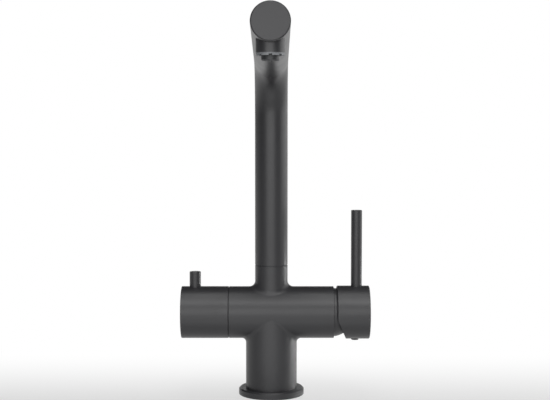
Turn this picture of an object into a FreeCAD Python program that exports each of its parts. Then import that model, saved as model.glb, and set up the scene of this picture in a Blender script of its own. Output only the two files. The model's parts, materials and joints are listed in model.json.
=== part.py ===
import FreeCAD, Part
import math
import os
import re
import Sketcher
from FreeCAD import Placement, Rotation, Vector

# Filtered water kitchen tap, in millimetres and degrees.
# The origin is the middle of the base ring's underside, on the worktop.
# +Z is up, the spout points to -Y, the mixer lever is on +X and the filter knob on -X.

SIZES = {
    # Play between pieces
    "running_clearance": (0.05, "radial play of a turning fit"),
    "seat_clearance": (0.04, "radial play between pieces that stay together"),
    "face_clearance": (0.05, "gap between flat faces that slide on each other"),
    "tilt_gap": (0.35, "room left around the lever's swinging pieces"),
    # Base
    "base_ring_radius": (30.0, "outer radius of the base ring"),
    "base_ring_side": (5.0, "height of the base ring's upright side"),
    "base_ring_height": (6.2, "height of the base ring where it meets the leg"),
    "base_ring_bevel": (1.3, "width of the base ring's sloping rim"),
    "base_ring_foot": (0.4, "chamfer at the foot of the base ring's side"),
    "base_ring_ledge": (2.5, "height of the ledge that the leg stands on"),
    "base_ring_bore": (20.0, "radius of the hole through the base ring"),
    "deck_seal_inner": (22.5, "inner radius of the seal under the base ring"),
    "deck_seal_outer": (26.5, "outer radius of the seal under the base ring"),
    "deck_seal_depth": (1.6, "thickness of the seal under the base ring"),
    # Body casting
    "leg_radius": (23.5, "outer radius of the leg"),
    "leg_cavity_radius": (19.0, "radius of the hollow in the leg"),
    "ceiling_drop": (42.0, "depth of the ceiling of the leg's hollow below the arm axis"),
    "arm_height": (76.0, "height of the axis of the two arms"),
    "arm_radius": (23.85, "outer radius of the arms"),
    "filter_arm_length": (38.9, "reach of the filter arm from the upright axis"),
    "mixer_arm_length": (57.5, "reach of the mixer arm from the upright axis"),
    "arm_end_chamfer": (0.3, "chamfer at the ends of the arms"),
    "leg_blend_radius": (4.0, "fillet between the leg and the arms"),
    "collar_radius": (15.0, "outer radius of the collar under the spout"),
    "collar_rise": (43.6, "height of the top of the collar above the arm axis"),
    "collar_blend_radius": (5.5, "fillet between the collar and the arms"),
    "collar_bore": (11.0, "radius of the bore that the spout turns in"),
    # Water ways
    "port_circle": (11.0, "radius of the circle of the three inlets"),
    "port_angle": (60.0, "angle of the hot and cold inlets from the mixer arm, degrees"),
    "port_radius": (4.5, "tapping radius of an M10 x 1 inlet"),
    "port_depth": (12.0, "depth of an inlet's thread"),
    "stud_circle": (13.5, "radius of the circle of the two fixing studs"),
    "stud_angle": (60.0, "angle of the fixing studs from the filter arm, degrees"),
    "stud_radius": (3.4, "tapping radius of an M8 fixing stud"),
    "stud_depth": (14.0, "depth of a fixing stud's thread"),
    "channel_radius": (3.0, "radius of the drilled water channels"),
    "inlet_drop": (6.0, "depth of the cartridge's inlets below the arm axis"),
    "outlet_rise": (10.8, "height of the cartridge's outlet above the arm axis"),
    "outlet_step": (0.5, "height of the mixed water's channel above the collar bore's floor"),
    # Spout
    "seam_gap": (0.9, "gap between the collar and the spout tube"),
    "spout_radius": (15.0, "outer radius of the spout tube"),
    "spout_wall": (1.5, "wall of the spout tube"),
    "corner_height": (301.5, "height where the spout's two straight axes would cross"),
    "bend_radius": (48.0, "radius of the spout's bend on its centre line"),
    "arm_rise": (5.75, "slope of the spout's arm, degrees"),
    "spout_reach": (213.0, "distance from the upright axis to the outlet's axis"),
    "tip_overhang": (13.9, "level distance from the outlet's axis to the spout's end"),
    "end_cap_rim": (2.0, "thickness of the end cap's rim"),
    "end_cap_spigot": (5.0, "depth of the end cap inside the tube"),
    "end_cap_edge": (0.9, "rounding of the end cap's edge"),
    "stem_length": (24.0, "length of the spout's stem inside the collar"),
    "stem_grip": (14.0, "length of the stem inside the spout tube"),
    "stem_bore": (7.5, "radius of the bore through the stem"),
    "seal_section": (1.9, "thickness of the spout's ring seals"),
    "seal_groove_width": (2.5, "width of the grooves of the ring seals"),
    "seal_groove_depth": (1.95, "depth of the grooves of the ring seals"),
    "small_groove_ratio": (1.2, "width of a small seal's groove, in seal thicknesses"),
    "lower_seal_rise": (3.5, "height of the lower seal above the stem's end"),
    "seal_pitch": (4.5, "distance between the two seals of the stem"),
    "stop_groove_drop": (8.0, "depth of the retaining groove below the collar's top"),
    "stop_screw_radius": (2.5, "radius of the screw that keeps the spout in"),
    "stop_groove_play": (0.3, "play of the screw in its groove"),
    "slide_ring_inset": (0.6, "depth of the slide ring inside the tube's outline"),
    # Filtered water riser
    "riser_radius": (4.0, "outer radius of the inner tube"),
    "riser_wall": (1.0, "wall of the inner tube"),
    "ferrule_radius": (5.5, "outer radius of the inner tube's end fitting"),
    "ferrule_depth": (5.5, "depth of the end fitting in the collar's floor"),
    "ferrule_stand": (7.0, "height of the end fitting above the collar's floor"),
    "ferrule_seal_section": (1.1, "thickness of the end fitting's ring seal"),
    "ferrule_seal_rise": (2.4, "height of that seal above the fitting's end"),
    "elbow_radius": (6.0, "outer radius of the elbow in the spout's tip"),
    "elbow_grip": (11.0, "length of the inner tube inside the elbow"),
    "elbow_nose": (5.0, "length of the elbow beyond the outlet's axis"),
    "elbow_spigot_radius": (4.5, "outer radius of the elbow's downward spigot"),
    "elbow_spigot_rise": (5.0, "height of that spigot's end above the outlet's mouth"),
    # Outlet
    "outlet_radius": (11.1, "outer radius of the outlet"),
    "outlet_wall": (1.5, "wall of the outlet"),
    "outlet_drop": (20.95, "depth of the outlet's mouth below the spout's axis"),
    "outlet_root": (7.5, "depth of the outlet's top below the spout's axis"),
    "aerator_rim": (2.2, "height of the aerator's rim below the outlet's mouth"),
    "aerator_rim_inset": (0.4, "step from the outlet's side in to the aerator's rim"),
    "aerator_depth": (8.0, "depth of the aerator inside the outlet"),
    "aerator_wall": (0.9, "wall of the aerator inside the outlet"),
    "aerator_notches": (8, "number of coin notches in the aerator's rim"),
    "aerator_notch_width": (2.6, "width of a coin notch"),
    "aerator_notch_depth": (1.1, "depth of a coin notch"),
    "aerator_seal_height": (1.5, "thickness of the washer above the aerator"),
    "nozzle_radius": (7.0, "radius of the filtered water nozzle"),
    "nozzle_drop": (6.0, "depth of the nozzle below the outlet's mouth"),
    "nozzle_height": (9.0, "height of the nozzle's wide part"),
    "nozzle_edge": (0.8, "chamfer at the nozzle's mouth"),
    "nozzle_bore": (2.0, "radius of the nozzle's bore"),
    "nozzle_spigot": (8.0, "length of the nozzle's spigot inside the elbow"),
    "grid_holes": (16, "number of holes in the straightener's ring"),
    "grid_hole_radius": (0.5, "radius of a hole in the straightener's ring"),
    "grid_rise": (1.0, "height of the straightener above the outlet's mouth"),
    "grid_height": (2.0, "thickness of the straightener"),
    # Mixer cartridge
    "pivot_inset": (2.5, "distance of the lever's pivot inside the arm's end"),
    "pivot_above_rotor": (15.0, "distance from the rotor's inner face to the pivot"),
    "pivot_pin_radius": (1.5, "radius of the lever's pivot pin"),
    "pivot_pin_length": (20.0, "length of the lever's pivot pin"),
    "ceramic_thickness": (4.0, "thickness of a mixer disc"),
    "fixed_disc_radius": (14.6, "radius of the fixed mixer disc"),
    "moving_disc_radius": (11.0, "radius of the moving mixer disc"),
    "mixing_pocket_radius": (7.0, "radius of the pocket in the moving mixer disc"),
    "mixing_pocket_depth": (2.4, "depth of the pocket in the moving mixer disc"),
    "mixing_pocket_rise": (2.5, "height of the pocket above the disc's middle"),
    "carrier_thickness": (5.0, "thickness of the disc carrier's plate"),
    "carrier_boss_width": (9.0, "width of the disc carrier's boss"),
    "carrier_boss_height": (10.0, "upright size of the disc carrier's boss"),
    "carrier_boss_gap": (5.8, "distance from the boss's top to the pivot"),
    "carrier_pocket": (5.8, "side of the square pocket in the boss"),
    "carrier_pocket_floor": (3.0, "thickness of the boss under the pocket"),
    "ball_radius": (2.6, "radius of the ball at the spindle's inner end"),
    "ball_drop": (8.0, "distance from the pivot to the ball"),
    "ball_neck_radius": (1.7, "radius of the spindle's neck above the ball"),
    "cartridge_base_length": (7.0, "thickness of the cartridge's base"),
    "cartridge_flange": (3.0, "thickness of the base's flange"),
    "cartridge_seal_radius": (0.65, "radius of the section of the cartridge's seals"),
    "housing_radius": (17.5, "outer radius of the cartridge's housing"),
    "housing_bore": (16.0, "inner radius of the cartridge's housing"),
    "housing_wall": (2.0, "thickness of the housing's shoulder"),
    "neck_radius": (14.0, "outer radius of the housing's neck"),
    "neck_above_pivot": (4.0, "reach of the housing's neck beyond the pivot"),
    "rotor_radius": (11.0, "radius of the rotor in the housing's neck"),
    "rotor_flange": (3.0, "thickness of the rotor's flange"),
    "rotor_proud": (1.5, "reach of the rotor beyond the housing's neck"),
    "nut_radius": (19.0, "thread radius of the cartridge's clamp nut"),
    "nut_length": (8.0, "length of the cartridge's clamp nut"),
    "nut_notches": (4, "number of spanner notches in the clamp nut"),
    "nut_notch_width": (4.0, "width of a spanner notch"),
    "nut_notch_depth": (2.5, "depth of a spanner notch"),
    "dome_radius": (22.5, "radius of the dome around the lever's pivot"),
    "dome_skirt_radius": (22.1, "radius of the dome's skirt in the arm"),
    "dome_skirt": (5.5, "depth of the dome's skirt in the arm"),
    "dome_depth": (13.0, "distance from the pivot to the dome's front"),
    "dome_wall": (1.6, "wall of the dome"),
    # Mixer lever
    "flow_tilt": (22.0, "tilt of the lever when fully open, degrees"),
    "spindle_size": (8.0, "side of the lever's square spindle"),
    "spindle_grip": (11.0, "length of the spindle inside the cap"),
    "cap_radius": (24.45, "outer radius of the lever's cap"),
    "cap_gap": (3.0, "gap between the mixer arm and the lever's cap"),
    "cap_length": (29.8, "length of the lever's cap"),
    "cap_cavity_radius": (23.0, "radius of the hollow in the lever's cap"),
    "cap_cavity_depth": (19.6, "distance from the pivot to the hollow's floor"),
    "cap_edge": (0.6, "chamfer at the outer end of the lever's cap"),
    "cap_lip": (0.4, "chamfer at the inner end of the lever's cap"),
    "cap_cut_offset": (3.8, "distance from the pivot to the cap's slanted cut"),
    "rod_inset": (11.8, "distance from the cap's outer end to the rod's axis"),
    "rod_radius": (5.05, "radius of the lever's rod"),
    "rod_rise": (94.5, "height of the top of the lever's rod above the arm axis"),
    "pin_seat_depth": (1.0, "depth of the flat seat under a rod or pin"),
    "pin_edge": (0.4, "chamfer at the top of a rod or pin"),
    "pin_stud_radius": (2.95, "radius of the threaded stud of a rod or pin"),
    "pin_stud_length": (11.5, "length of the threaded stud of a rod or pin"),
    "lever_screw_back": (1.2, "distance of the grub screw's axis from the rod's, towards the arm"),
    "lever_screw_radius": (1.95, "radius of the lever's grub screw"),
    "lever_screw_length": (12.0, "length of the lever's grub screw"),
    "key_radius": (1.45, "corner radius of the hexagon key sockets"),
    "key_depth": (2.5, "depth of the hexagon key sockets"),
    "plug_radius": (3.6, "radius of the plug over the grub screw"),
    "plug_depth": (3.2, "depth of the plug in the cap"),
    "plug_proud": (1.25, "height of the plug's head outside the cap"),
    "plug_edge": (0.9, "rounding of the plug's head"),
    # Filter valve
    "valve_floor": (8.0, "distance from the upright axis to the valve chamber's floor"),
    "valve_chamber": (12.0, "radius of the filter valve's chamber"),
    "valve_nose_radius": (10.4, "radius of the valve's nose in the chamber"),
    "valve_nose_gap": (2.0, "gap between the chamber's floor and the valve's nose"),
    "valve_nose_length": (12.0, "length of the valve's nose"),
    "valve_bore": (9.0, "radius of the bore that holds the valve's discs"),
    "valve_seal_length": (3.0, "length of the rubber seat seal"),
    "valve_seal_wall": (2.2, "wall of the rubber seat seal"),
    "valve_disc_thickness": (3.0, "thickness of a filter valve disc"),
    "valve_hole_radius": (2.2, "radius of the holes in the valve's discs"),
    "valve_hole_offset": (5.2, "distance of those holes from the valve's axis"),
    "valve_window_radius": (3.0, "radius of the side windows in the valve's nose"),
    "valve_washer": (1.0, "thickness of the washer under the valve's hexagon"),
    "valve_washer_radius": (16.0, "outer radius of that washer"),
    "valve_hex_radius": (15.0, "corner radius of the valve's hexagon"),
    "valve_hex_length": (5.0, "thickness of the valve's hexagon"),
    "valve_neck_radius": (9.0, "radius of the valve's neck"),
    "valve_neck_length": (9.5, "length of the valve's neck"),
    "spindle_radius": (4.5, "radius of the filter valve's spindle"),
    "spindle_head": (3.0, "thickness of the spindle's driving head"),
    "spindle_seal_section": (1.2, "thickness of the spindle's ring seal"),
    "spindle_end_radius": (4.0, "radius of the spindle's outer end"),
    "clip_radius": (6.4, "outer radius of the spindle's clip"),
    "clip_thickness": (1.0, "thickness of the spindle's clip"),
    "clip_groove": (0.9, "depth of the clip's groove in the spindle"),
    # Filter knob
    "knob_gap": (0.5, "gap between the filter arm and the knob"),
    "knob_groove": (1.0, "depth of the groove around the knob's slide ring"),
    "knob_radius": (23.9, "outer radius of the knob"),
    "knob_length": (43.4, "length of the knob"),
    "knob_edge": (0.25, "chamfer at the knob's ends"),
    "knob_cavity_radius": (20.5, "radius of the hollow in the knob"),
    "knob_cavity_depth": (26.3, "depth of the hollow in the knob"),
    "insert_radius": (8.0, "radius of the knob's insert"),
    "insert_flange_radius": (12.0, "radius of the insert's flange"),
    "insert_flange": (6.0, "thickness of the insert's flange"),
    "insert_depth": (11.0, "depth of the insert in the knob"),
    "knob_pin_inset": (12.5, "distance from the knob's outer end to the pin's axis"),
    "knob_pin_radius": (5.2, "radius of the knob's pin"),
    "knob_pin_height": (13.8, "height of the knob's pin above the knob"),
    "knob_screw_radius": (1.95, "radius of the knob's grub screw"),
    "knob_screw_length": (10.0, "length of the knob's grub screw"),
}

# Places worked out from the sizes. x along the arms, z up.
PLACES = {
    # Mixer arm, outwards along +X
    "pivot_x": "mixer_arm_length - pivot_inset",
    "rotor_x": "pivot_x - pivot_above_rotor",
    "carrier_x": "rotor_x - face_clearance - carrier_thickness",
    "moving_disc_x": "carrier_x - ceramic_thickness",
    "fixed_disc_x": "moving_disc_x - face_clearance - ceramic_thickness",
    "cartridge_x": "fixed_disc_x - cartridge_base_length",
    "housing_x": "cartridge_x + cartridge_flange",
    "rotor_flange_x": "rotor_x + rotor_flange",
    "shoulder_inner_x": "rotor_flange_x + face_clearance",
    "shoulder_x": "shoulder_inner_x + housing_wall",
    "neck_x": "pivot_x + neck_above_pivot",
    "rotor_end_x": "neck_x + rotor_proud",
    "nut_x": "shoulder_x + nut_length",
    "dome_x": "mixer_arm_length - dome_skirt",
    "dome_front_x": "pivot_x + dome_depth",
    "dome_round_x": "pivot_x + sqrt(dome_radius ^ 2 - dome_skirt_radius ^ 2)",
    "dome_front_radius": "sqrt(dome_radius ^ 2 - dome_depth ^ 2)",
    "boss_x": "pivot_x - carrier_boss_gap",
    "cap_x": "mixer_arm_length + cap_gap",
    "cap_floor_x": "pivot_x + cap_cavity_depth",
    "cap_end_x": "cap_x + cap_length",
    "rod_x": "cap_end_x - rod_inset",
    "lever_screw_x": "rod_x - lever_screw_back",
    "disc_travel": "ball_drop * flow_tilt * pi / 180",
    # Leg and collar, upwards along +Z
    "leg_cavity_top": "arm_height - ceiling_drop",
    "collar_top": "arm_height + collar_rise",
    "collar_floor": "arm_height + outlet_rise - channel_radius - outlet_step",
    "port_side": "port_circle * sin(port_angle)",
    "port_forward": "port_circle * cos(port_angle)",
    "stud_side": "stud_circle * sin(stud_angle)",
    "stud_back": "stud_circle * cos(stud_angle)",
    # Filter arm, outwards along -X
    "seat_seal_x": "-valve_floor",
    "valve_fixed_x": "seat_seal_x - valve_seal_length",
    "valve_moving_x": "valve_fixed_x - valve_disc_thickness - face_clearance",
    "spindle_head_x": "valve_moving_x - valve_disc_thickness",
    "valve_shoulder_x": "spindle_head_x - spindle_head - face_clearance",
    "valve_nose_x": "seat_seal_x - valve_nose_gap",
    "valve_thread_x": "valve_nose_x - valve_nose_length",
    "filter_end_x": "-filter_arm_length",
    "valve_hex_x": "filter_end_x - valve_washer",
    "valve_neck_x": "valve_hex_x - valve_hex_length",
    "valve_end_x": "valve_neck_x - valve_neck_length",
    "clip_x": "valve_end_x - face_clearance",
    "clip_end_x": "clip_x - clip_thickness",
    "spindle_seal_x": "valve_neck_x - valve_neck_length / 2",
    "knob_x": "filter_end_x - knob_gap",
    "knob_floor_x": "knob_x - knob_cavity_depth",
    "insert_x": "knob_floor_x + insert_flange",
    "insert_end_x": "knob_floor_x - insert_depth",
    "knob_end_x": "knob_x - knob_length",
    "knob_pin_x": "knob_end_x + knob_pin_inset",
    # Spout, upwards along +Z
    "spout_foot": "collar_top + seam_gap",
    "stem_end": "collar_top - stem_length",
    "lower_seal_z": "stem_end + lower_seal_rise",
    "upper_seal_z": "lower_seal_z + seal_pitch",
    "stop_groove_z": "collar_top - stop_groove_drop",
    "stem_radius": "collar_bore - running_clearance",
    "seal_floor": "stem_radius - seal_groove_depth",
    "spout_bore": "spout_radius - spout_wall",
    "bend_run": "bend_radius * tan((90 - arm_rise) / 2)",
    "bend_start_z": "corner_height - bend_run",
    "bend_end_y": "-bend_run * cos(arm_rise)",
    "bend_end_z": "corner_height + bend_run * sin(arm_rise)",
    "tip_y": "-(spout_reach + tip_overhang)",
    "tip_z": "corner_height + (spout_reach + tip_overhang) * tan(arm_rise)",
    "tube_end_y": "tip_y + end_cap_rim * cos(arm_rise)",
    "tube_end_z": "tip_z - end_cap_rim * sin(arm_rise)",
    "outlet_z": "corner_height + spout_reach * tan(arm_rise)",
    "outlet_mouth": "outlet_z - outlet_drop",
    "outlet_bore": "outlet_radius - outlet_wall",
    "outlet_top": "outlet_z - outlet_root",
    "elbow_stop": "elbow_spigot_radius - outlet_wall",
    "riser_end_y": "-spout_reach + elbow_stop * cos(arm_rise)",
    "riser_end_z": "outlet_z - elbow_stop * sin(arm_rise)",
    "elbow_bore": "riser_radius - riser_wall",
    "ferrule_end": "collar_floor - ferrule_depth",
    "ferrule_socket": "ferrule_radius + running_clearance",
    "ferrule_seal_z": "ferrule_end + ferrule_seal_rise",
}

WORD = re.compile(r"[a-z][a-z_0-9]*")
HEXAGON = 6
# How near an edge lies to the place where it is looked for.
NEAR = 0.01
UP = Rotation()
# Upright, with the start of the round face turned away from the holes that cross it.
UP_SEAM_BACK = Rotation(Vector(0, 0, 1), 225)
DOWN = Rotation(Vector(1, 0, 0), 180)
RIGHT = Rotation(Vector(0, 1, 0), 90)
LEFT = Rotation(Vector(0, 1, 0), -90)
BACK = Rotation(Vector(1, 0, 0), -90)
FRONT = Rotation(Vector(1, 0, 0), 90)

doc = FreeCAD.newDocument("filtered_water_tap")
sheet = doc.addObject("Spreadsheet::Sheet", "sizes")
for row, (alias, (value, meaning)) in enumerate(SIZES.items(), start=1):
    sheet.set(f"A{row}", meaning)
    sheet.set(f"B{row}", str(value))
    sheet.setAlias(f"B{row}", alias)
doc.recompute()

pieces = []


def tied(formula):
    """Write a formula of sizes and places as an expression on the sheet's cells."""
    def on_sheet(match):
        word = match.group()
        if word in SIZES:
            return f"sizes.{word}"
        if word in PLACES:
            return f"({tied(PLACES[word])})"
        return word
    return WORD.sub(on_sheet, formula)


def number(formula):
    """Give the present value of a formula."""
    return float(sheet.evalExpression(tied(formula)))


def bind(thing, **formulas):
    """Tie properties of a document object to formulas."""
    for name, formula in formulas.items():
        thing.setExpression(name, tied(formula))


def place(thing, at, turn=UP):
    """Turn a document object, and tie its position to three formulas."""
    thing.Placement = Placement(Vector(), turn)
    for axis, formula in zip("xyz", at):
        thing.setExpression(f"Placement.Base.{axis}", tied(formula))


def tilt(thing, axis, formula):
    """Tie the angle of a document object about one axis to a formula."""
    thing.Placement = Placement(thing.Placement.Base, Rotation(axis, number(formula)))
    thing.setExpression("Placement.Rotation.Angle", tied(f"({formula}) * 1 deg"))


def piece(label, at=("0", "0", "0")):
    """Start a new piece of the tap."""
    body = doc.addObject("PartDesign::Body", label)
    body.Label = label
    place(body, at)
    pieces.append(body)
    return body


def arm_piece(label, x="0"):
    """Start a new piece whose own axis is the axis of the arms."""
    return piece(label, (x, "0", "arm_height"))


def origin_part(body, role):
    return next(part for part in body.Origin.OriginFeatures if part.Role == role)


def new_sketch(body, name, plane):
    sketch = body.newObject("Sketcher::SketchObject", name)
    sketch.AttachmentSupport = [(origin_part(body, plane), "")]
    sketch.MapMode = "FlatFace"
    return sketch


def arc_between(start, end, radius, turn):
    """Make the short arc between two points, turning left or right on the way."""
    chord = end - start
    middle = (start + end) * 0.5
    side = Vector(-chord.y, chord.x, 0).normalize()
    offset = math.sqrt(max(radius ** 2 - (chord.Length / 2) ** 2, 0))
    centre = middle + side * (offset if turn == "left" else -offset)
    first, last = (start, end) if turn == "left" else (end, start)
    angles = [math.atan2(point.y - centre.y, point.x - centre.x) for point in (first, last)]
    circle = Part.Circle(centre, Vector(0, 0, 1), radius)
    return Part.ArcOfCircle(circle, angles[0], angles[1])


def outline(sketch, corners, closed=True):
    """Draw straight and round sides through corners that are tied to formulas.

    A corner is (u, v), or (u, v, turn, radius) where the side that arrives there is an arc.
    """
    points = [Vector(number(corner[0]), number(corner[1]), 0) for corner in corners]
    sides = range(0 if closed else 1, len(corners))
    ends = {}
    for index in sides:
        start, end, shape = points[index - 1], points[index], corners[index][2:]
        if shape:
            turn, radius = shape
            side = sketch.addGeometry(arc_between(start, end, number(radius), turn))
            limit = sketch.addConstraint(Sketcher.Constraint("Radius", side, number(radius)))
            sketch.setExpression(f"Constraints[{limit}]", tied(radius))
            first, last = (1, 2) if turn == "left" else (2, 1)
        else:
            side = sketch.addGeometry(Part.LineSegment(start, end))
            first, last = 1, 2
        ends[index] = (side, first, last)
    for index in sides:
        before = ends.get((index - 1) % len(corners))
        side, first = ends[index][:2]
        if before:
            sketch.addConstraint(Sketcher.Constraint("Coincident", before[0], before[2], side, first))
    for index, corner in enumerate(corners):
        side, first, last = ends.get(index) or ends[index + 1]
        end = last if index in ends else first
        for kind, formula in (("DistanceX", corner[0]), ("DistanceY", corner[1])):
            limit = sketch.addConstraint(
                Sketcher.Constraint(kind, -1, 1, side, end, number(formula)))
            sketch.setExpression(f"Constraints[{limit}]", tied(formula))


def turned(body, name, axis, corners, feature="PartDesign::Revolution"):
    """Turn an outline about the piece's X or Z axis. A corner is (along, radius)."""
    flat = new_sketch(body, f"{body.Name}_{name}_outline", "XZ_Plane")
    if axis == "Z":
        corners = [(corner[1], corner[0], *corner[2:]) for corner in corners]
    outline(flat, corners)
    turn = body.newObject(feature, f"{body.Name}_{name}")
    turn.Profile = (flat, [""])
    turn.ReferenceAxis = (origin_part(body, f"{axis}_Axis"), [""])
    turn.Angle = 360


def bored(body, name, axis, corners):
    """Cut a turned outline out of a piece."""
    turned(body, name, axis, corners, "PartDesign::Groove")


def primitive(body, kind, name, at, turn=UP, **formulas):
    """Add or take away one of the plain solids, placed in the piece's own frame."""
    feature = body.newObject(f"PartDesign::{kind}", f"{body.Name}_{name}")
    place(feature, at, turn)
    bind(feature, **formulas)
    return feature


def rod(body, name, at, turn, radius, length):
    return primitive(body, "AdditiveCylinder", name, at, turn, Radius=radius, Height=length)


def drill(body, name, at, turn, radius, length):
    return primitive(body, "SubtractiveCylinder", name, at, turn, Radius=radius, Height=length)


def block(body, kind, name, low, high):
    """Add or take away a box between two corners."""
    sizes = [f"({top}) - ({bottom})" for bottom, top in zip(low, high)]
    return primitive(body, kind, name, low, UP, Length=sizes[0], Width=sizes[1], Height=sizes[2])


def ring_seal(label, at, turn, radius, section):
    """Make a round rubber ring."""
    body = piece(label, at)
    primitive(body, "AdditiveTorus", "ring", ("0", "0", "0"), turn,
              Radius1=radius, Radius2=f"({section}) / 2")


def repeated(body, feature, axis, count):
    """Repeat a feature evenly about the piece's X or Z axis."""
    pattern = body.newObject("PartDesign::PolarPattern", f"{feature.Name}_pattern")
    pattern.Originals = [feature]
    pattern.Axis = (origin_part(body, f"{axis}_Axis"), [""])
    pattern.Angle = 360
    bind(pattern, Occurrences=count)
    body.Tip = pattern


def dressed(body, kind, name, wanted, **formulas):
    """Fillet or chamfer the edges of a piece's last feature that a test picks out."""
    doc.recompute()
    base = body.Tip
    picked = [f"Edge{index}" for index, edge in enumerate(base.Shape.Edges, start=1) if wanted(edge)]
    feature = body.newObject(f"PartDesign::{kind}", f"{body.Name}_{name}")
    feature.Base = (base, picked)
    bind(feature, **formulas)


def grub_screw(label, at, turn, radius, length):
    """Make a headless screw with a hexagon socket in its outer end."""
    screw = piece(label, at)
    rod(screw, "shank", ("0", "0", "0"), turn, radius, length)
    primitive(screw, "SubtractivePrism", "socket", ("0", "0", "0"), turn,
              Circumradius="key_radius", Height="key_depth")
    screw.Tip.Polygon = HEXAGON


def threaded_pin(label, x, radius, seat, top):
    """Make an upright pin on an arm, with a flat foot on its seat and a threaded stud below."""
    pin = arm_piece(label, x)
    turned(pin, "pin", "Z", [
        (f"{seat} - pin_stud_length", "0"),
        (f"{seat} - pin_stud_length", "pin_stud_radius"),
        (seat, "pin_stud_radius"),
        (seat, radius),
        (f"{top} - pin_edge", radius),
        (top, f"{radius} - pin_edge"),
        (top, "0"),
    ])


def centre_line(body, name, start, end_y, end_z):
    """Draw the spout's centre line from a height on the upright axis to a point on its arm."""
    line = new_sketch(body, f"{body.Name}_{name}", "YZ_Plane")
    outline(line, [
        ("0", start),
        ("0", "bend_start_z"),
        ("bend_end_y", "bend_end_z", "left", "bend_radius"),
        (end_y, end_z),
    ], closed=False)
    return line


def bent_tube(label, start, end_y, end_z, outer, inner):
    """Make a tube along the spout's centre line."""
    tube = piece(label)
    spine = centre_line(tube, "centre_line", start, end_y, end_z)
    ring = new_sketch(tube, f"{label}_section", "XY_Plane")
    ring.setExpression("AttachmentOffset.Base.z", tied(start))
    for radius in (outer, inner):
        circle = ring.addGeometry(Part.Circle(Vector(), Vector(0, 0, 1), number(radius)))
        ring.addConstraint(Sketcher.Constraint("Coincident", circle, 3, -1, 1))
        limit = ring.addConstraint(Sketcher.Constraint("Radius", circle, number(radius)))
        ring.setExpression(f"Constraints[{limit}]", tied(radius))
    pipe = tube.newObject("PartDesign::AdditivePipe", f"{label}_wall")
    pipe.Profile = (ring, [""])
    pipe.Spine = (spine, ["Edge1", "Edge2", "Edge3"])
    return tube


def make_base():
    ring = piece("base_ring")
    turned(ring, "ring", "Z", [
        ("0", "base_ring_bore"),
        ("0", "deck_seal_inner"),
        ("deck_seal_depth", "deck_seal_inner"),
        ("deck_seal_depth", "deck_seal_outer"),
        ("0", "deck_seal_outer"),
        ("0", "base_ring_radius - base_ring_foot"),
        ("base_ring_foot", "base_ring_radius"),
        ("base_ring_side", "base_ring_radius"),
        ("base_ring_height", "base_ring_radius - base_ring_bevel"),
        ("base_ring_height", "leg_radius + seat_clearance"),
        ("base_ring_ledge", "leg_radius + seat_clearance"),
        ("base_ring_ledge", "base_ring_bore"),
    ])
    seal = piece("deck_seal")
    turned(seal, "ring", "Z", [
        ("0", "deck_seal_inner + seat_clearance"),
        ("0", "deck_seal_outer - seat_clearance"),
        ("deck_seal_depth", "deck_seal_outer - seat_clearance"),
        ("deck_seal_depth", "deck_seal_inner + seat_clearance"),
    ])


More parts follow.
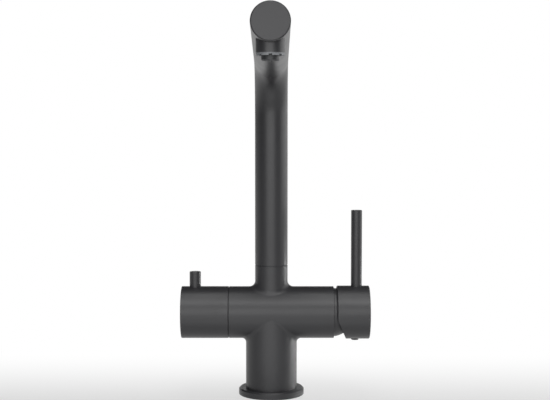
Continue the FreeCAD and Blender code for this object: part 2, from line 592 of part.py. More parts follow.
def make_body_casting():
    body = arm_piece("body_casting")
    rod(body, "leg", ("0", "0", "base_ring_ledge - arm_height"), UP,
        "leg_radius", "arm_height - base_ring_ledge")
    rod(body, "arms", ("filter_end_x", "0", "0"), RIGHT,
        "arm_radius", "filter_arm_length + mixer_arm_length")
    rod(body, "collar", ("0", "0", "0"), UP, "collar_radius", "collar_top - arm_height")

    def within(edge, radius, low, high):
        box = edge.BoundBox
        inside = max(-box.XMin, box.XMax, -box.YMin, box.YMax) < radius + NEAR
        return inside and low < box.ZMin and box.ZMax < high and box.ZLength > NEAR

    collar, leg, arm = number("collar_radius"), number("leg_radius"), number("arm_radius")
    dressed(body, "Fillet", "collar_blend", lambda edge: within(edge, collar, 0, arm + NEAR)
            and isinstance(edge.Curve, Part.BSplineCurve), Radius="collar_blend_radius")
    dressed(body, "Fillet", "leg_blend", lambda edge: within(edge, leg, -arm - NEAR, 0)
            and isinstance(edge.Curve, Part.BSplineCurve), Radius="leg_blend_radius")
    dressed(body, "Chamfer", "arm_ends", lambda edge: isinstance(edge.Curve, Part.Circle)
            and edge.BoundBox.XLength < NEAR, Size="arm_end_chamfer")

    drill(body, "leg_cavity", ("0", "0", "base_ring_ledge - arm_height"), UP,
          "leg_cavity_radius", "leg_cavity_top - base_ring_ledge")
    bored(body, "cartridge_chamber", "X", [
        ("cartridge_x", "0"),
        ("cartridge_x", "housing_radius + seat_clearance"),
        ("shoulder_x", "housing_radius + seat_clearance"),
        ("shoulder_x", "nut_radius"),
        ("dome_x", "nut_radius"),
        ("dome_x", "dome_skirt_radius + seat_clearance"),
        ("mixer_arm_length", "dome_skirt_radius + seat_clearance"),
        ("mixer_arm_length", "0"),
    ])
    bored(body, "valve_chamber", "X", [
        ("filter_end_x", "0"),
        ("filter_end_x", "valve_chamber"),
        ("seat_seal_x", "valve_chamber"),
        ("seat_seal_x", "0"),
    ])
    drill(body, "collar_bore", ("0", "0", "collar_floor - arm_height"), UP_SEAM_BACK,
          "collar_bore", "2 * (collar_top - collar_floor)")
    drill(body, "ferrule_socket", ("0", "0", "ferrule_end - arm_height"), UP_SEAM_BACK,
          "ferrule_socket", "2 * ferrule_depth")
    ceiling = "leg_cavity_top - arm_height"
    for name, side in (("cold", "port_side"), ("hot", "-port_side")):
        drill(body, f"{name}_port", ("port_forward", side, ceiling), UP, "port_radius", "port_depth")
        drill(body, f"{name}_riser", ("port_forward", side, ceiling), UP,
              "channel_radius", "arm_height - leg_cavity_top - inlet_drop")
        drill(body, f"{name}_feed", ("port_forward", side, "-inlet_drop"), RIGHT,
              "channel_radius", "cartridge_x - port_forward")
    drill(body, "mixed_channel", ("0", "0", "outlet_rise"), RIGHT, "channel_radius", "cartridge_x")
    drill(body, "filter_port", ("-port_circle", "0", ceiling), UP, "port_radius", "port_depth")
    drill(body, "filter_riser", ("-port_circle", "0", ceiling), UP,
          "channel_radius", "arm_height - leg_cavity_top - valve_nose_radius")
    drill(body, "filter_channel", ("0", "0", "0"), LEFT, "channel_radius", "valve_floor")
    drill(body, "filter_outlet", ("0", "0", "0"), UP, "channel_radius", "ferrule_end - arm_height")
    for name, side in (("front", "-stud_side"), ("rear", "stud_side")):
        drill(body, f"{name}_stud", ("-stud_back", side, ceiling), UP, "stud_radius", "stud_depth")
    drill(body, "stop_screw_hole", ("0", "0", "stop_groove_z - arm_height"), BACK,
          "stop_screw_radius + seat_clearance", "2 * collar_radius")


def make_cartridge_shell():
    base = arm_piece("cartridge_base")
    turned(base, "base", "X", [
        ("cartridge_x", "0"),
        ("cartridge_x", "housing_radius"),
        ("housing_x", "housing_radius"),
        ("housing_x", "housing_bore - seat_clearance"),
        ("fixed_disc_x", "housing_bore - seat_clearance"),
        ("fixed_disc_x", "0"),
    ])
    fixed = arm_piece("fixed_mixer_disc")
    turned(fixed, "disc", "X", [
        ("fixed_disc_x", "0"),
        ("fixed_disc_x", "fixed_disc_radius"),
        ("fixed_disc_x + ceramic_thickness", "fixed_disc_radius"),
        ("fixed_disc_x + ceramic_thickness", "0"),
    ])
    ways = {"cold": ("port_side", "-inlet_drop"), "hot": ("-port_side", "-inlet_drop"),
            "mixed": ("0", "outlet_rise")}
    seals = []
    for name, (side, rise) in ways.items():
        drill(base, f"{name}_seat", ("cartridge_x", side, rise), RIGHT,
              "channel_radius + 2 * cartridge_seal_radius + seat_clearance",
              "2 * cartridge_seal_radius")
        drill(base, f"{name}_way", ("cartridge_x", side, rise), RIGHT,
              "channel_radius", "cartridge_base_length")
        drill(fixed, f"{name}_way", ("fixed_disc_x", side, rise), RIGHT,
              "channel_radius", "ceramic_thickness")
        seal = doc.addObject("Part::Torus", f"{name}_cartridge_seal")
        place(seal, ("cartridge_x + cartridge_seal_radius", side, f"arm_height + {rise}"), RIGHT)
        bind(seal, Radius1="channel_radius + cartridge_seal_radius", Radius2="cartridge_seal_radius")
        seals.append(seal)
    group = doc.addObject("Part::Compound", "cartridge_seals")
    group.Links = seals
    pieces.append(group)

    housing = arm_piece("cartridge_housing")
    turned(housing, "shell", "X", [
        ("housing_x", "housing_bore"),
        ("housing_x", "housing_radius"),
        ("shoulder_x", "housing_radius"),
        ("shoulder_x", "neck_radius"),
        ("neck_x", "neck_radius"),
        ("neck_x", "rotor_radius + running_clearance"),
        ("shoulder_inner_x", "rotor_radius + running_clearance"),
        ("shoulder_inner_x", "housing_bore"),
    ])
    nut = arm_piece("cartridge_clamp_nut")
    turned(nut, "ring", "X", [
        ("shoulder_x", "neck_radius + seat_clearance"),
        ("shoulder_x", "nut_radius - seat_clearance"),
        ("nut_x", "nut_radius - seat_clearance"),
        ("nut_x", "neck_radius + seat_clearance"),
    ])
    notch = block(nut, "SubtractiveBox", "notch",
                  ("nut_x - nut_notch_depth", "-nut_notch_width / 2", "0"),
                  ("nut_x", "nut_notch_width / 2", "nut_radius"))
    repeated(nut, notch, "X", "nut_notches")
    dome = arm_piece("cartridge_dome")
    turned(dome, "shell", "X", [
        ("dome_x", "dome_skirt_radius - dome_wall"),
        ("dome_x", "dome_skirt_radius"),
        ("dome_round_x", "dome_skirt_radius"),
        ("dome_front_x", "dome_front_radius", "right", "dome_radius"),
        ("dome_front_x", "dome_front_radius - dome_wall"),
    ])


def make_cartridge_works():
    rotor = arm_piece("mixer_rotor")
    turned(rotor, "rotor", "X", [
        ("rotor_x", "0"),
        ("rotor_x", "housing_bore - running_clearance"),
        ("rotor_flange_x", "housing_bore - running_clearance"),
        ("rotor_flange_x", "rotor_radius"),
        ("rotor_end_x", "rotor_radius"),
        ("rotor_end_x", "0"),
    ])
    boss_side = "carrier_boss_width / 2 + running_clearance"
    block(rotor, "SubtractiveBox", "carrier_way",
          ("rotor_x", f"-({boss_side})", "-(carrier_boss_height / 2 + tilt_gap)"),
          ("pivot_x - spindle_size / 2", boss_side,
           "carrier_boss_height / 2 + disc_travel + tilt_gap"))
    slot_side = "spindle_size / 2 + running_clearance"
    swing = "(rotor_end_x - pivot_x) * tan(flow_tilt) + spindle_size / 2 / cos(flow_tilt) + tilt_gap"
    block(rotor, "SubtractiveBox", "spindle_way",
          ("boss_x", f"-({slot_side})", f"-({swing})"),
          ("rotor_end_x", slot_side, "spindle_size / 2 + tilt_gap"))
    drill(rotor, "pin_hole", ("pivot_x", "-rotor_radius", "0"), BACK,
          "pivot_pin_radius + seat_clearance", "2 * rotor_radius")

    pin = arm_piece("lever_pivot_pin", "pivot_x")
    rod(pin, "pin", ("0", "-pivot_pin_length / 2", "0"), BACK,
        "pivot_pin_radius", "pivot_pin_length")

    moving = arm_piece("moving_mixer_disc")
    turned(moving, "disc", "X", [
        ("moving_disc_x", "0"),
        ("moving_disc_x", "moving_disc_radius"),
        ("carrier_x", "moving_disc_radius"),
        ("carrier_x", "0"),
    ])
    drill(moving, "mixing_pocket", ("moving_disc_x", "0", "mixing_pocket_rise"), RIGHT,
          "mixing_pocket_radius", "mixing_pocket_depth")

    carrier = arm_piece("disc_carrier")
    turned(carrier, "plate", "X", [
        ("carrier_x", "0"),
        ("carrier_x", "moving_disc_radius"),
        ("carrier_x + carrier_thickness", "moving_disc_radius"),
        ("carrier_x + carrier_thickness", "0"),
    ])
    block(carrier, "AdditiveBox", "boss",
          ("carrier_x", "-carrier_boss_width / 2", "-carrier_boss_height / 2"),
          ("boss_x", "carrier_boss_width / 2", "carrier_boss_height / 2"))
    block(carrier, "SubtractiveBox", "ball_pocket",
          ("carrier_x + carrier_pocket_floor", "-carrier_pocket / 2", "-carrier_pocket / 2"),
          ("boss_x", "carrier_pocket / 2", "carrier_pocket / 2"))

    spindle = arm_piece("lever_spindle")
    primitive(spindle, "AdditiveSphere", "ball", ("pivot_x - ball_drop", "0", "0"),
              Radius="ball_radius")
    rod(spindle, "neck", ("pivot_x - ball_drop", "0", "0"), RIGHT, "ball_neck_radius", "ball_drop")
    rod(spindle, "knuckle", ("pivot_x", "-spindle_size / 2", "0"), BACK,
        "spindle_size / 2", "spindle_size")
    block(spindle, "AdditiveBox", "bar",
          ("pivot_x", "-spindle_size / 2", "-spindle_size / 2"),
          ("cap_floor_x + spindle_grip", "spindle_size / 2", "spindle_size / 2"))
    drill(spindle, "pin_hole", ("pivot_x", "-spindle_size", "0"), BACK,
          "pivot_pin_radius + running_clearance", "2 * spindle_size")


def make_lever():
    cap = arm_piece("lever_cap")
    turned(cap, "shell", "X", [
        ("cap_x", "cap_cavity_radius"),
        ("cap_x", "cap_radius - cap_lip"),
        ("cap_x + cap_lip", "cap_radius"),
        ("cap_end_x - cap_edge", "cap_radius"),
        ("cap_end_x", "cap_radius - cap_edge"),
        ("cap_end_x", "0"),
        ("cap_floor_x", "0"),
        ("cap_floor_x", "cap_cavity_radius"),
    ])
    # The slanted cut comes parallel to the arm's end when the lever is fully open.
    cut = primitive(cap, "SubtractiveBox", "slanted_cut", ("0", "0", "0"),
                    Length="2 * cap_radius", Width="4 * cap_radius", Height="4 * cap_radius")
    reach = "(cap_cut_offset - 2 * cap_radius)"
    place(cut, (f"pivot_x + {reach} * cos(flow_tilt) + 2 * cap_radius * sin(flow_tilt)",
                "-2 * cap_radius",
                f"{reach} * sin(flow_tilt) - 2 * cap_radius * cos(flow_tilt)"))
    tilt(cut, Vector(0, -1, 0), "flow_tilt")
    socket_side = "spindle_size / 2 + seat_clearance"
    block(cap, "SubtractiveBox", "spindle_socket",
          ("cap_floor_x", f"-({socket_side})", f"-({socket_side})"),
          ("cap_floor_x + spindle_grip", socket_side, socket_side))
    seat = "cap_radius - pin_seat_depth"
    drill(cap, "rod_seat", ("rod_x", "0", seat), UP, "rod_radius + seat_clearance", "cap_radius")
    drill(cap, "rod_thread", ("rod_x", "0", f"{seat} - pin_stud_length"), UP,
          "pin_stud_radius + seat_clearance", "pin_stud_length")
    drill(cap, "screw_thread", ("lever_screw_x", "0", "0"), DOWN,
          "lever_screw_radius + seat_clearance", "2 * cap_radius")
    drill(cap, "plug_seat", ("lever_screw_x", "0", "plug_depth - cap_radius"), DOWN,
          "plug_radius + seat_clearance", "cap_radius")

    threaded_pin("lever_rod", "rod_x", "rod_radius", seat, "rod_rise")
    grub_screw("lever_grub_screw",
               ("lever_screw_x", "0", "arm_height - spindle_size / 2 - lever_screw_length"), UP,
               "lever_screw_radius", "lever_screw_length")
    plug = piece("lever_screw_plug", ("lever_screw_x", "0", "arm_height - cap_radius"))
    turned(plug, "plug", "Z", [
        ("plug_depth", "0"),
        ("plug_depth", "plug_radius"),
        ("plug_edge - plug_proud", "plug_radius"),
        ("-plug_proud", "plug_radius - plug_edge", "right", "plug_edge"),
        ("-plug_proud", "0"),
    ])


def make_filter_valve():
    seal = arm_piece("valve_seat_seal")
    turned(seal, "ring", "X", [
        ("seat_seal_x", "valve_bore - seat_clearance - valve_seal_wall"),
        ("seat_seal_x", "valve_bore - seat_clearance"),
        ("valve_fixed_x", "valve_bore - seat_clearance"),
        ("valve_fixed_x", "valve_bore - seat_clearance - valve_seal_wall"),
    ])
    disc_radius = "valve_bore - running_clearance"
    for label, start, turn in (("fixed_filter_disc", "valve_fixed_x", "upright"),
                               ("moving_filter_disc", "valve_moving_x", "level")):
        disc = arm_piece(label)
        turned(disc, "disc", "X", [
            (start, "0"),
            (start, disc_radius),
            (f"{start} - valve_disc_thickness", disc_radius),
            (f"{start} - valve_disc_thickness", "0"),
        ])
        for name, offset in (("first", "valve_hole_offset"), ("second", "-valve_hole_offset")):
            at = (start, "0", offset) if turn == "upright" else (start, offset, "0")
            drill(disc, f"{name}_hole", at, LEFT, "valve_hole_radius", "valve_disc_thickness")

    valve = arm_piece("filter_valve_body")
    neck_bore = "spindle_radius + running_clearance"
    turned(valve, "barrel", "X", [
        ("valve_nose_x", "valve_bore"),
        ("valve_nose_x", "valve_nose_radius"),
        ("valve_thread_x", "valve_nose_radius"),
        ("valve_thread_x", "valve_chamber - seat_clearance"),
        ("valve_hex_x", "valve_chamber - seat_clearance"),
        ("valve_hex_x", "valve_neck_radius"),
        ("valve_end_x", "valve_neck_radius"),
        ("valve_end_x", neck_bore),
        ("valve_shoulder_x", neck_bore),
        ("valve_shoulder_x", "valve_bore"),
    ])
    primitive(valve, "AdditivePrism", "hexagon", ("valve_hex_x", "0", "0"), LEFT,
              Circumradius="valve_hex_radius", Height="valve_hex_length").Polygon = HEXAGON
    drill(valve, "spindle_bore", ("valve_shoulder_x", "0", "0"), LEFT,
          neck_bore, "valve_shoulder_x - valve_end_x")
    drill(valve, "side_windows", ("valve_moving_x - valve_disc_thickness / 2", "0", "-valve_chamber"),
          UP, "valve_window_radius", "2 * valve_chamber")
    bored(valve, "disc_bore", "X", [
        ("valve_shoulder_x", "0"),
        ("valve_shoulder_x", "valve_bore"),
        ("valve_nose_x", "valve_bore"),
        ("valve_nose_x", "0"),
    ])

    washer = arm_piece("filter_valve_washer")
    turned(washer, "ring", "X", [
        ("filter_end_x", "valve_chamber"),
        ("filter_end_x", "valve_washer_radius"),
        ("valve_hex_x", "valve_washer_radius"),
        ("valve_hex_x", "valve_chamber"),
    ])

    slide = arm_piece("filter_slide_ring")
    turned(slide, "ring", "X", [
        ("filter_end_x", "valve_washer_radius + seat_clearance"),
        ("filter_end_x", "arm_radius - knob_groove"),
        ("knob_x + face_clearance", "arm_radius - knob_groove"),
        ("knob_x + face_clearance", "valve_washer_radius + seat_clearance"),
    ])

    spindle = arm_piece("filter_spindle")
    groove = "spindle_radius - spindle_seal_section + running_clearance"
    half_groove = "spindle_seal_section * small_groove_ratio / 2"
    clip_floor = "spindle_radius - clip_groove"
    turned(spindle, "shaft", "X", [
        ("spindle_head_x", "0"),
        ("spindle_head_x", disc_radius),
        ("spindle_head_x - spindle_head", disc_radius),
        ("spindle_head_x - spindle_head", "spindle_radius"),
        (f"spindle_seal_x + {half_groove}", "spindle_radius"),
        (f"spindle_seal_x + {half_groove}", groove),
        (f"spindle_seal_x - {half_groove}", groove),
        (f"spindle_seal_x - {half_groove}", "spindle_radius"),
        ("clip_x", "spindle_radius"),
        ("clip_x", clip_floor),
        ("clip_end_x", clip_floor),
        ("clip_end_x", "spindle_end_radius"),
        ("insert_end_x", "spindle_end_radius"),
        ("insert_end_x", "0"),
    ])
    ring_seal("filter_spindle_seal", ("spindle_seal_x", "0", "arm_height"), RIGHT,
              "spindle_radius - spindle_seal_section / 2 + running_clearance",
              "spindle_seal_section - running_clearance")
    clip = arm_piece("filter_spindle_clip")
    turned(clip, "ring", "X", [
        ("clip_x", f"{clip_floor} + seat_clearance"),
        ("clip_x", "clip_radius"),
        ("clip_end_x", "clip_radius"),
        ("clip_end_x", f"{clip_floor} + seat_clearance"),
    ])


def make_filter_knob():
    knob = arm_piece("filter_knob")
    turned(knob, "shell", "X", [
        ("knob_x", "knob_cavity_radius"),
        ("knob_x", "knob_radius - knob_edge"),
        ("knob_x - knob_edge", "knob_radius"),
        ("knob_end_x + knob_edge", "knob_radius"),
        ("knob_end_x", "knob_radius - knob_edge"),
        ("knob_end_x", "0"),
        ("insert_end_x", "0"),
        ("insert_end_x", "insert_radius + seat_clearance"),
        ("knob_floor_x", "insert_radius + seat_clearance"),
        ("knob_floor_x", "knob_cavity_radius"),
    ])
    seat = "knob_radius - pin_seat_depth"
    drill(knob, "pin_seat", ("knob_pin_x", "0", seat), UP,
          "knob_pin_radius + seat_clearance", "knob_radius")
    drill(knob, "pin_thread", ("knob_pin_x", "0", f"{seat} - pin_stud_length"), UP,
          "pin_stud_radius + seat_clearance", "pin_stud_length")
    screw_hole = "knob_screw_radius + seat_clearance"
    drill(knob, "screw_thread", ("knob_pin_x", "0", "0"), DOWN, screw_hole, "2 * knob_radius")

    insert = arm_piece("filter_knob_insert")
    bore = "spindle_end_radius + seat_clearance"
    turned(insert, "sleeve", "X", [
        ("insert_x", bore),
        ("insert_x", "insert_flange_radius"),
        ("knob_floor_x", "insert_flange_radius"),
        ("knob_floor_x", "insert_radius"),
        ("insert_end_x", "insert_radius"),
        ("insert_end_x", bore),
    ])
    drill(insert, "screw_thread", ("knob_pin_x", "0", "0"), DOWN, screw_hole, "2 * knob_radius")
    threaded_pin("filter_knob_pin", "knob_pin_x", "knob_pin_radius", seat,
                 "knob_radius + knob_pin_height")
    grub_screw("filter_knob_screw",
               ("knob_pin_x", "0", "arm_height - spindle_end_radius - knob_screw_length"), UP,
               "knob_screw_radius", "knob_screw_length")


def make_spout():
    tube = bent_tube("spout_tube", "spout_foot", "tube_end_y", "tube_end_z",
                     "spout_radius", "spout_bore")
    drill(tube, "outlet_hole", ("0", "-spout_reach", "outlet_mouth"), UP,
          "outlet_radius + seat_clearance", "outlet_z - outlet_mouth")

    cap = piece("spout_end_cap", ("0", "tip_y", "tip_z"))
    tilt(cap, Vector(1, 0, 0), "90 - arm_rise")
    turned(cap, "cap", "Z", [
        ("0", "0"),
        ("0", "spout_radius - end_cap_edge"),
        ("-end_cap_edge", "spout_radius", "left", "end_cap_edge"),
        ("-end_cap_rim", "spout_radius"),
        ("-end_cap_rim", "spout_bore - seat_clearance"),
        ("-end_cap_rim - end_cap_spigot", "spout_bore - seat_clearance"),
        ("-end_cap_rim - end_cap_spigot", "spout_bore - spout_wall"),
        ("-end_cap_rim", "spout_bore - spout_wall"),
        ("-end_cap_rim", "0"),
    ])
    relief = drill(cap, "outlet_relief", ("0", "0", "-tip_overhang / cos(arm_rise)"), UP,
                   "outlet_radius + seat_clearance", "2 * spout_radius")
    tilt(relief, Vector(1, 0, 0), "90 + arm_rise")

    stem = piece("spout_stem")
    half_groove = "seal_groove_width / 2"
    half_stop = "(stop_screw_radius + stop_groove_play)"
    turned(stem, "stem", "Z", [
        ("stem_end", "stem_bore"),
        ("stem_end", "stem_radius"),
        (f"lower_seal_z - {half_groove}", "stem_radius"),
        (f"lower_seal_z - {half_groove}", "seal_floor"),
        (f"lower_seal_z + {half_groove}", "seal_floor"),
        (f"lower_seal_z + {half_groove}", "stem_radius"),
        (f"upper_seal_z - {half_groove}", "stem_radius"),
        (f"upper_seal_z - {half_groove}", "seal_floor"),
        (f"upper_seal_z + {half_groove}", "seal_floor"),
        (f"upper_seal_z + {half_groove}", "stem_radius"),
        (f"stop_groove_z - {half_stop}", "stem_radius"),
        (f"stop_groove_z - {half_stop}", "seal_floor"),
        (f"stop_groove_z + {half_stop}", "seal_floor"),
        (f"stop_groove_z + {half_stop}", "stem_radius"),
        ("spout_foot", "stem_radius"),
        ("spout_foot", "spout_bore - seat_clearance"),
        ("spout_foot + stem_grip", "spout_bore - seat_clearance"),
        ("spout_foot + stem_grip", "stem_bore"),
    ])
    for label, height in (("spout_lower_seal", "lower_seal_z"), ("spout_upper_seal", "upper_seal_z")):
        ring_seal(label, ("0", "0", height), UP,
                  "(seal_floor + collar_bore) / 2", "seal_section")
    slide = piece("spout_slide_ring")
    turned(slide, "ring", "Z", [
        ("collar_top + face_clearance", "stem_radius + seat_clearance"),
        ("collar_top + face_clearance", "spout_radius - slide_ring_inset"),
        ("spout_foot", "spout_radius - slide_ring_inset"),
        ("spout_foot", "stem_radius + seat_clearance"),
    ])
    grub_screw("spout_retaining_screw", ("0", "collar_radius", "stop_groove_z"), FRONT,
               "stop_screw_radius", "collar_radius - seal_floor - stop_groove_play")


def make_riser():
    bent_tube("filter_riser_tube", "collar_floor", "riser_end_y", "riser_end_z",
              "riser_radius", "elbow_bore")
    ferrule = piece("riser_ferrule")
    groove = "ferrule_radius - ferrule_seal_section + running_clearance"
    half_groove = "ferrule_seal_section * small_groove_ratio / 2"
    foot = "ferrule_end + face_clearance"
    turned(ferrule, "sleeve", "Z", [
        (foot, "elbow_bore"),
        (foot, "ferrule_radius"),
        (f"ferrule_seal_z - {half_groove}", "ferrule_radius"),
        (f"ferrule_seal_z - {half_groove}", groove),
        (f"ferrule_seal_z + {half_groove}", groove),
        (f"ferrule_seal_z + {half_groove}", "ferrule_radius"),
        ("collar_floor + ferrule_stand", "ferrule_radius"),
        ("collar_floor + ferrule_stand", "riser_radius + seat_clearance"),
        ("collar_floor", "riser_radius + seat_clearance"),
        ("collar_floor", "elbow_bore"),
    ])
    ring_seal("riser_ferrule_seal", ("0", "0", "ferrule_seal_z"), UP,
              "ferrule_radius - ferrule_seal_section / 2 + running_clearance",
              "ferrule_seal_section - running_clearance")

    elbow = piece("riser_elbow", ("0", "-spout_reach", "outlet_z"))
    back = "(elbow_stop + elbow_grip)"
    spigot_length = "outlet_z - outlet_mouth - elbow_spigot_rise"
    socket = rod(elbow, "socket", ("0", f"{back} * cos(arm_rise)", f"-{back} * sin(arm_rise)"), UP,
                 "elbow_radius", f"{back} + elbow_nose")
    rod(elbow, "spigot", ("0", "0", "0"), DOWN, "elbow_spigot_radius", spigot_length)
    grip = drill(elbow, "tube_bore", ("0", f"{back} * cos(arm_rise)", f"-{back} * sin(arm_rise)"),
                 UP, "riser_radius + seat_clearance", "elbow_grip")
    way = drill(elbow, "level_way", ("0", f"{back} * cos(arm_rise)", f"-{back} * sin(arm_rise)"),
                UP, "elbow_bore", back)
    for feature in (socket, grip, way):
        tilt(feature, Vector(1, 0, 0), "90 - arm_rise")
    drill(elbow, "down_way", ("0", "0", "0"), DOWN, "elbow_bore", spigot_length)


def make_outlet():
    outlet_at = ("0", "-spout_reach", "outlet_mouth")
    outlet = piece("outlet_housing", outlet_at)
    turned(outlet, "sleeve", "Z", [
        ("0", "outlet_bore"),
        ("0", "outlet_radius"),
        ("outlet_top - outlet_mouth", "outlet_radius"),
        ("outlet_top - outlet_mouth", "outlet_bore"),
    ])
    shell = "outlet_bore - seat_clearance"
    aerator = piece("aerator_ring", outlet_at)
    turned(aerator, "ring", "Z", [
        ("-aerator_rim", f"{shell} - aerator_wall"),
        ("-aerator_rim", "outlet_radius - aerator_rim_inset"),
        ("0", "outlet_radius - aerator_rim_inset"),
        ("0", shell),
        ("aerator_depth", shell),
        ("aerator_depth", f"{shell} - aerator_wall"),
    ])
    notch = block(aerator, "SubtractiveBox", "notch",
                  ("0", "-aerator_notch_width / 2", "-aerator_rim"),
                  ("outlet_radius", "aerator_notch_width / 2", "aerator_notch_depth - aerator_rim"))
    repeated(aerator, notch, "Z", "aerator_notches")

    washer = piece("aerator_seal", outlet_at)
    turned(washer, "ring", "Z", [
        ("aerator_depth", f"{shell} - aerator_wall"),
        ("aerator_depth", shell),
        ("aerator_depth + aerator_seal_height", shell),
        ("aerator_depth + aerator_seal_height", f"{shell} - aerator_wall"),
    ])

    nozzle = piece("filter_nozzle", outlet_at)
    shoulder = "(nozzle_height - nozzle_drop)"
    turned(nozzle, "nozzle", "Z", [
        ("-nozzle_drop", "nozzle_bore"),
        ("-nozzle_drop", "nozzle_radius - nozzle_edge"),
        ("nozzle_edge - nozzle_drop", "nozzle_radius"),
        (shoulder, "nozzle_radius"),
        (shoulder, "elbow_bore - seat_clearance"),
        (f"{shoulder} + nozzle_spigot", "elbow_bore - seat_clearance"),
        (f"{shoulder} + nozzle_spigot", "nozzle_bore"),
    ])

    grid = piece("aerator_straightener", outlet_at)
    inner, outer = "nozzle_radius + seat_clearance", f"{shell} - aerator_wall - seat_clearance"
    turned(grid, "ring", "Z", [
        ("grid_rise", inner),
        ("grid_rise", outer),
        ("grid_rise + grid_height", outer),
        ("grid_rise + grid_height", inner),
    ])
    hole = drill(grid, "hole", (f"(({inner}) + ({outer})) / 2", "0", "grid_rise"), UP,
                 "grid_hole_radius", "grid_height")
    repeated(grid, hole, "Z", "grid_holes")


make_base()
make_body_casting()
make_cartridge_shell()
make_cartridge_works()
make_lever()
make_filter_valve()
make_filter_knob()
make_spout()
make_riser()
make_outlet()
doc.recompute()

for thing in doc.Objects:
    if {"Invalid", "Error"} & set(thing.State):
        raise RuntimeError(f"{thing.Name} failed: {thing.State}")
for made in pieces:
    if made.Shape.isNull() or not made.Shape.isValid():
        raise RuntimeError(f"{made.Label} has no valid shape")

os.makedirs("parts", exist_ok=True)
for made in pieces:
    made.Shape.exportStep(f"parts/{made.Label}.step")
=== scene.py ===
import json
import math

import bmesh
import bpy
from bpy.props import FloatProperty, FloatVectorProperty, IntProperty, PointerProperty
from mathutils import Matrix, Vector


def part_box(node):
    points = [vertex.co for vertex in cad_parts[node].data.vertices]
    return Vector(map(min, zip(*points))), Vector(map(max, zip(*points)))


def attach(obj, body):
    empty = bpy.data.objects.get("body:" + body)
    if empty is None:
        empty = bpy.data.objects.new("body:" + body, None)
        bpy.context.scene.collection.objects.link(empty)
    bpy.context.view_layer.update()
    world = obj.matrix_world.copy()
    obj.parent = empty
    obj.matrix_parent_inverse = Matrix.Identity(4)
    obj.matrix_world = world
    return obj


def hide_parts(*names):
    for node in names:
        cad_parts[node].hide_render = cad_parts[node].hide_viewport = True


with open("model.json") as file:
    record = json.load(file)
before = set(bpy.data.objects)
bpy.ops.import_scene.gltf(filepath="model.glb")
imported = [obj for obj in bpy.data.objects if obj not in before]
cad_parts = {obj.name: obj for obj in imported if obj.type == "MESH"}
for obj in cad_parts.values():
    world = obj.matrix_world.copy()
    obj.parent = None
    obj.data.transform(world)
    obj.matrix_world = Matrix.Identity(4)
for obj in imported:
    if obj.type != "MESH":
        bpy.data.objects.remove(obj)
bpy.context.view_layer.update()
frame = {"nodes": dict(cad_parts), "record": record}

bl_info = {
    "name": "Filtered Water Kitchen Tap",
    "version": (1, 0, 0),
    "blender": (4, 5, 0),
    "location": "View3D > Sidebar > Tap",
    "description": "Finishes, fine pieces and a plain studio for a tap with a filtered water way",
    "category": "Object",
}

MM = 0.001
SPOUT_LOW, SPOUT_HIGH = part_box("spout_tube")
OUTLET_LOW, OUTLET_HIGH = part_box("outlet_housing")
NOZZLE_LOW, NOZZLE_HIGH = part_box("filter_nozzle")
GRID_LOW, GRID_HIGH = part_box("aerator_straightener")
SEAL_LOW, SEAL_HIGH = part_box("deck_seal")
MOUNTS = {mount["name"]: mount for mount in frame["record"]["mounts"]}
OUTLET_X = (OUTLET_LOW.x + OUTLET_HIGH.x) / 2
OUTLET_Y = (OUTLET_LOW.y + OUTLET_HIGH.y) / 2
SPOUT_RADIUS = (SPOUT_HIGH.x - SPOUT_LOW.x) / 2
ARM_RISE = math.radians(5.75)

ROUND_SIDES = 96
SEAT_CLEARANCE = 0.04 * MM
MERGE_DISTANCE = 1e-7
# An edge that turns by more than this stays sharp.
CREASE = math.radians(35)

# Pitch, depth and plain start of each kind of thread, and the radius of its ridge as a share of
# the pitch.
INLET_THREAD = (1.0 * MM, 11 * MM, 0.5 * MM)
STUD_THREAD = (1.25 * MM, 12.5 * MM, 0.6 * MM)
RIDGE_SHARE = 0.36

# The studio, in metres. Its paper is all white from the far end of the reach on.
FLOOR_RADIUS = 60
FLOOR_DROP = 0.2 * MM
BACKDROP_LEFT, BACKDROP_RIGHT = -1.6, 2.5
BACKDROP_BACK, BACKDROP_TOP = 2, 0.65
WHITE_LEAST = 0.25
WHITE_REACH = (-0.2, 0.2)
TAP_MIDDLE = (0, -0.05, 0.17)
# Azimuth (0 in front, 90 on the right) and elevation in degrees, then distance, width and height
# in metres, power in watts and, where they differ from the usual ones, the aim and the spread.
SOFT_BOXES = {
    "front_box": (-6, 10, 1.7, 1.85, 0.9, 15),
    "top_front_box": (5, 48, 1.7, 1.3, 0.55, 11.5),
    "high_front_box": (5, 66, 1.7, 1.3, 0.5, 6),
    "top_box": (0, 89, 1.7, 0.6, 0.6, 4.5),
    "right_box": (95, 14, 1.7, 1.3, 1.1, 9.5),
    "rear_right_box": (128, 14, 1.7, 0.6, 1.1, 3),
    "leg_strip": (115, 0, 0.6, 0.6, 0.04, 0.1, (0, 0, 0.024), 25),
    "low_front_box": (0, -90, 0.19, 0.3, 0.25, 0.15, (-0.03, -0.2, 0.2)),
}
SENSOR_WIDTH = 36

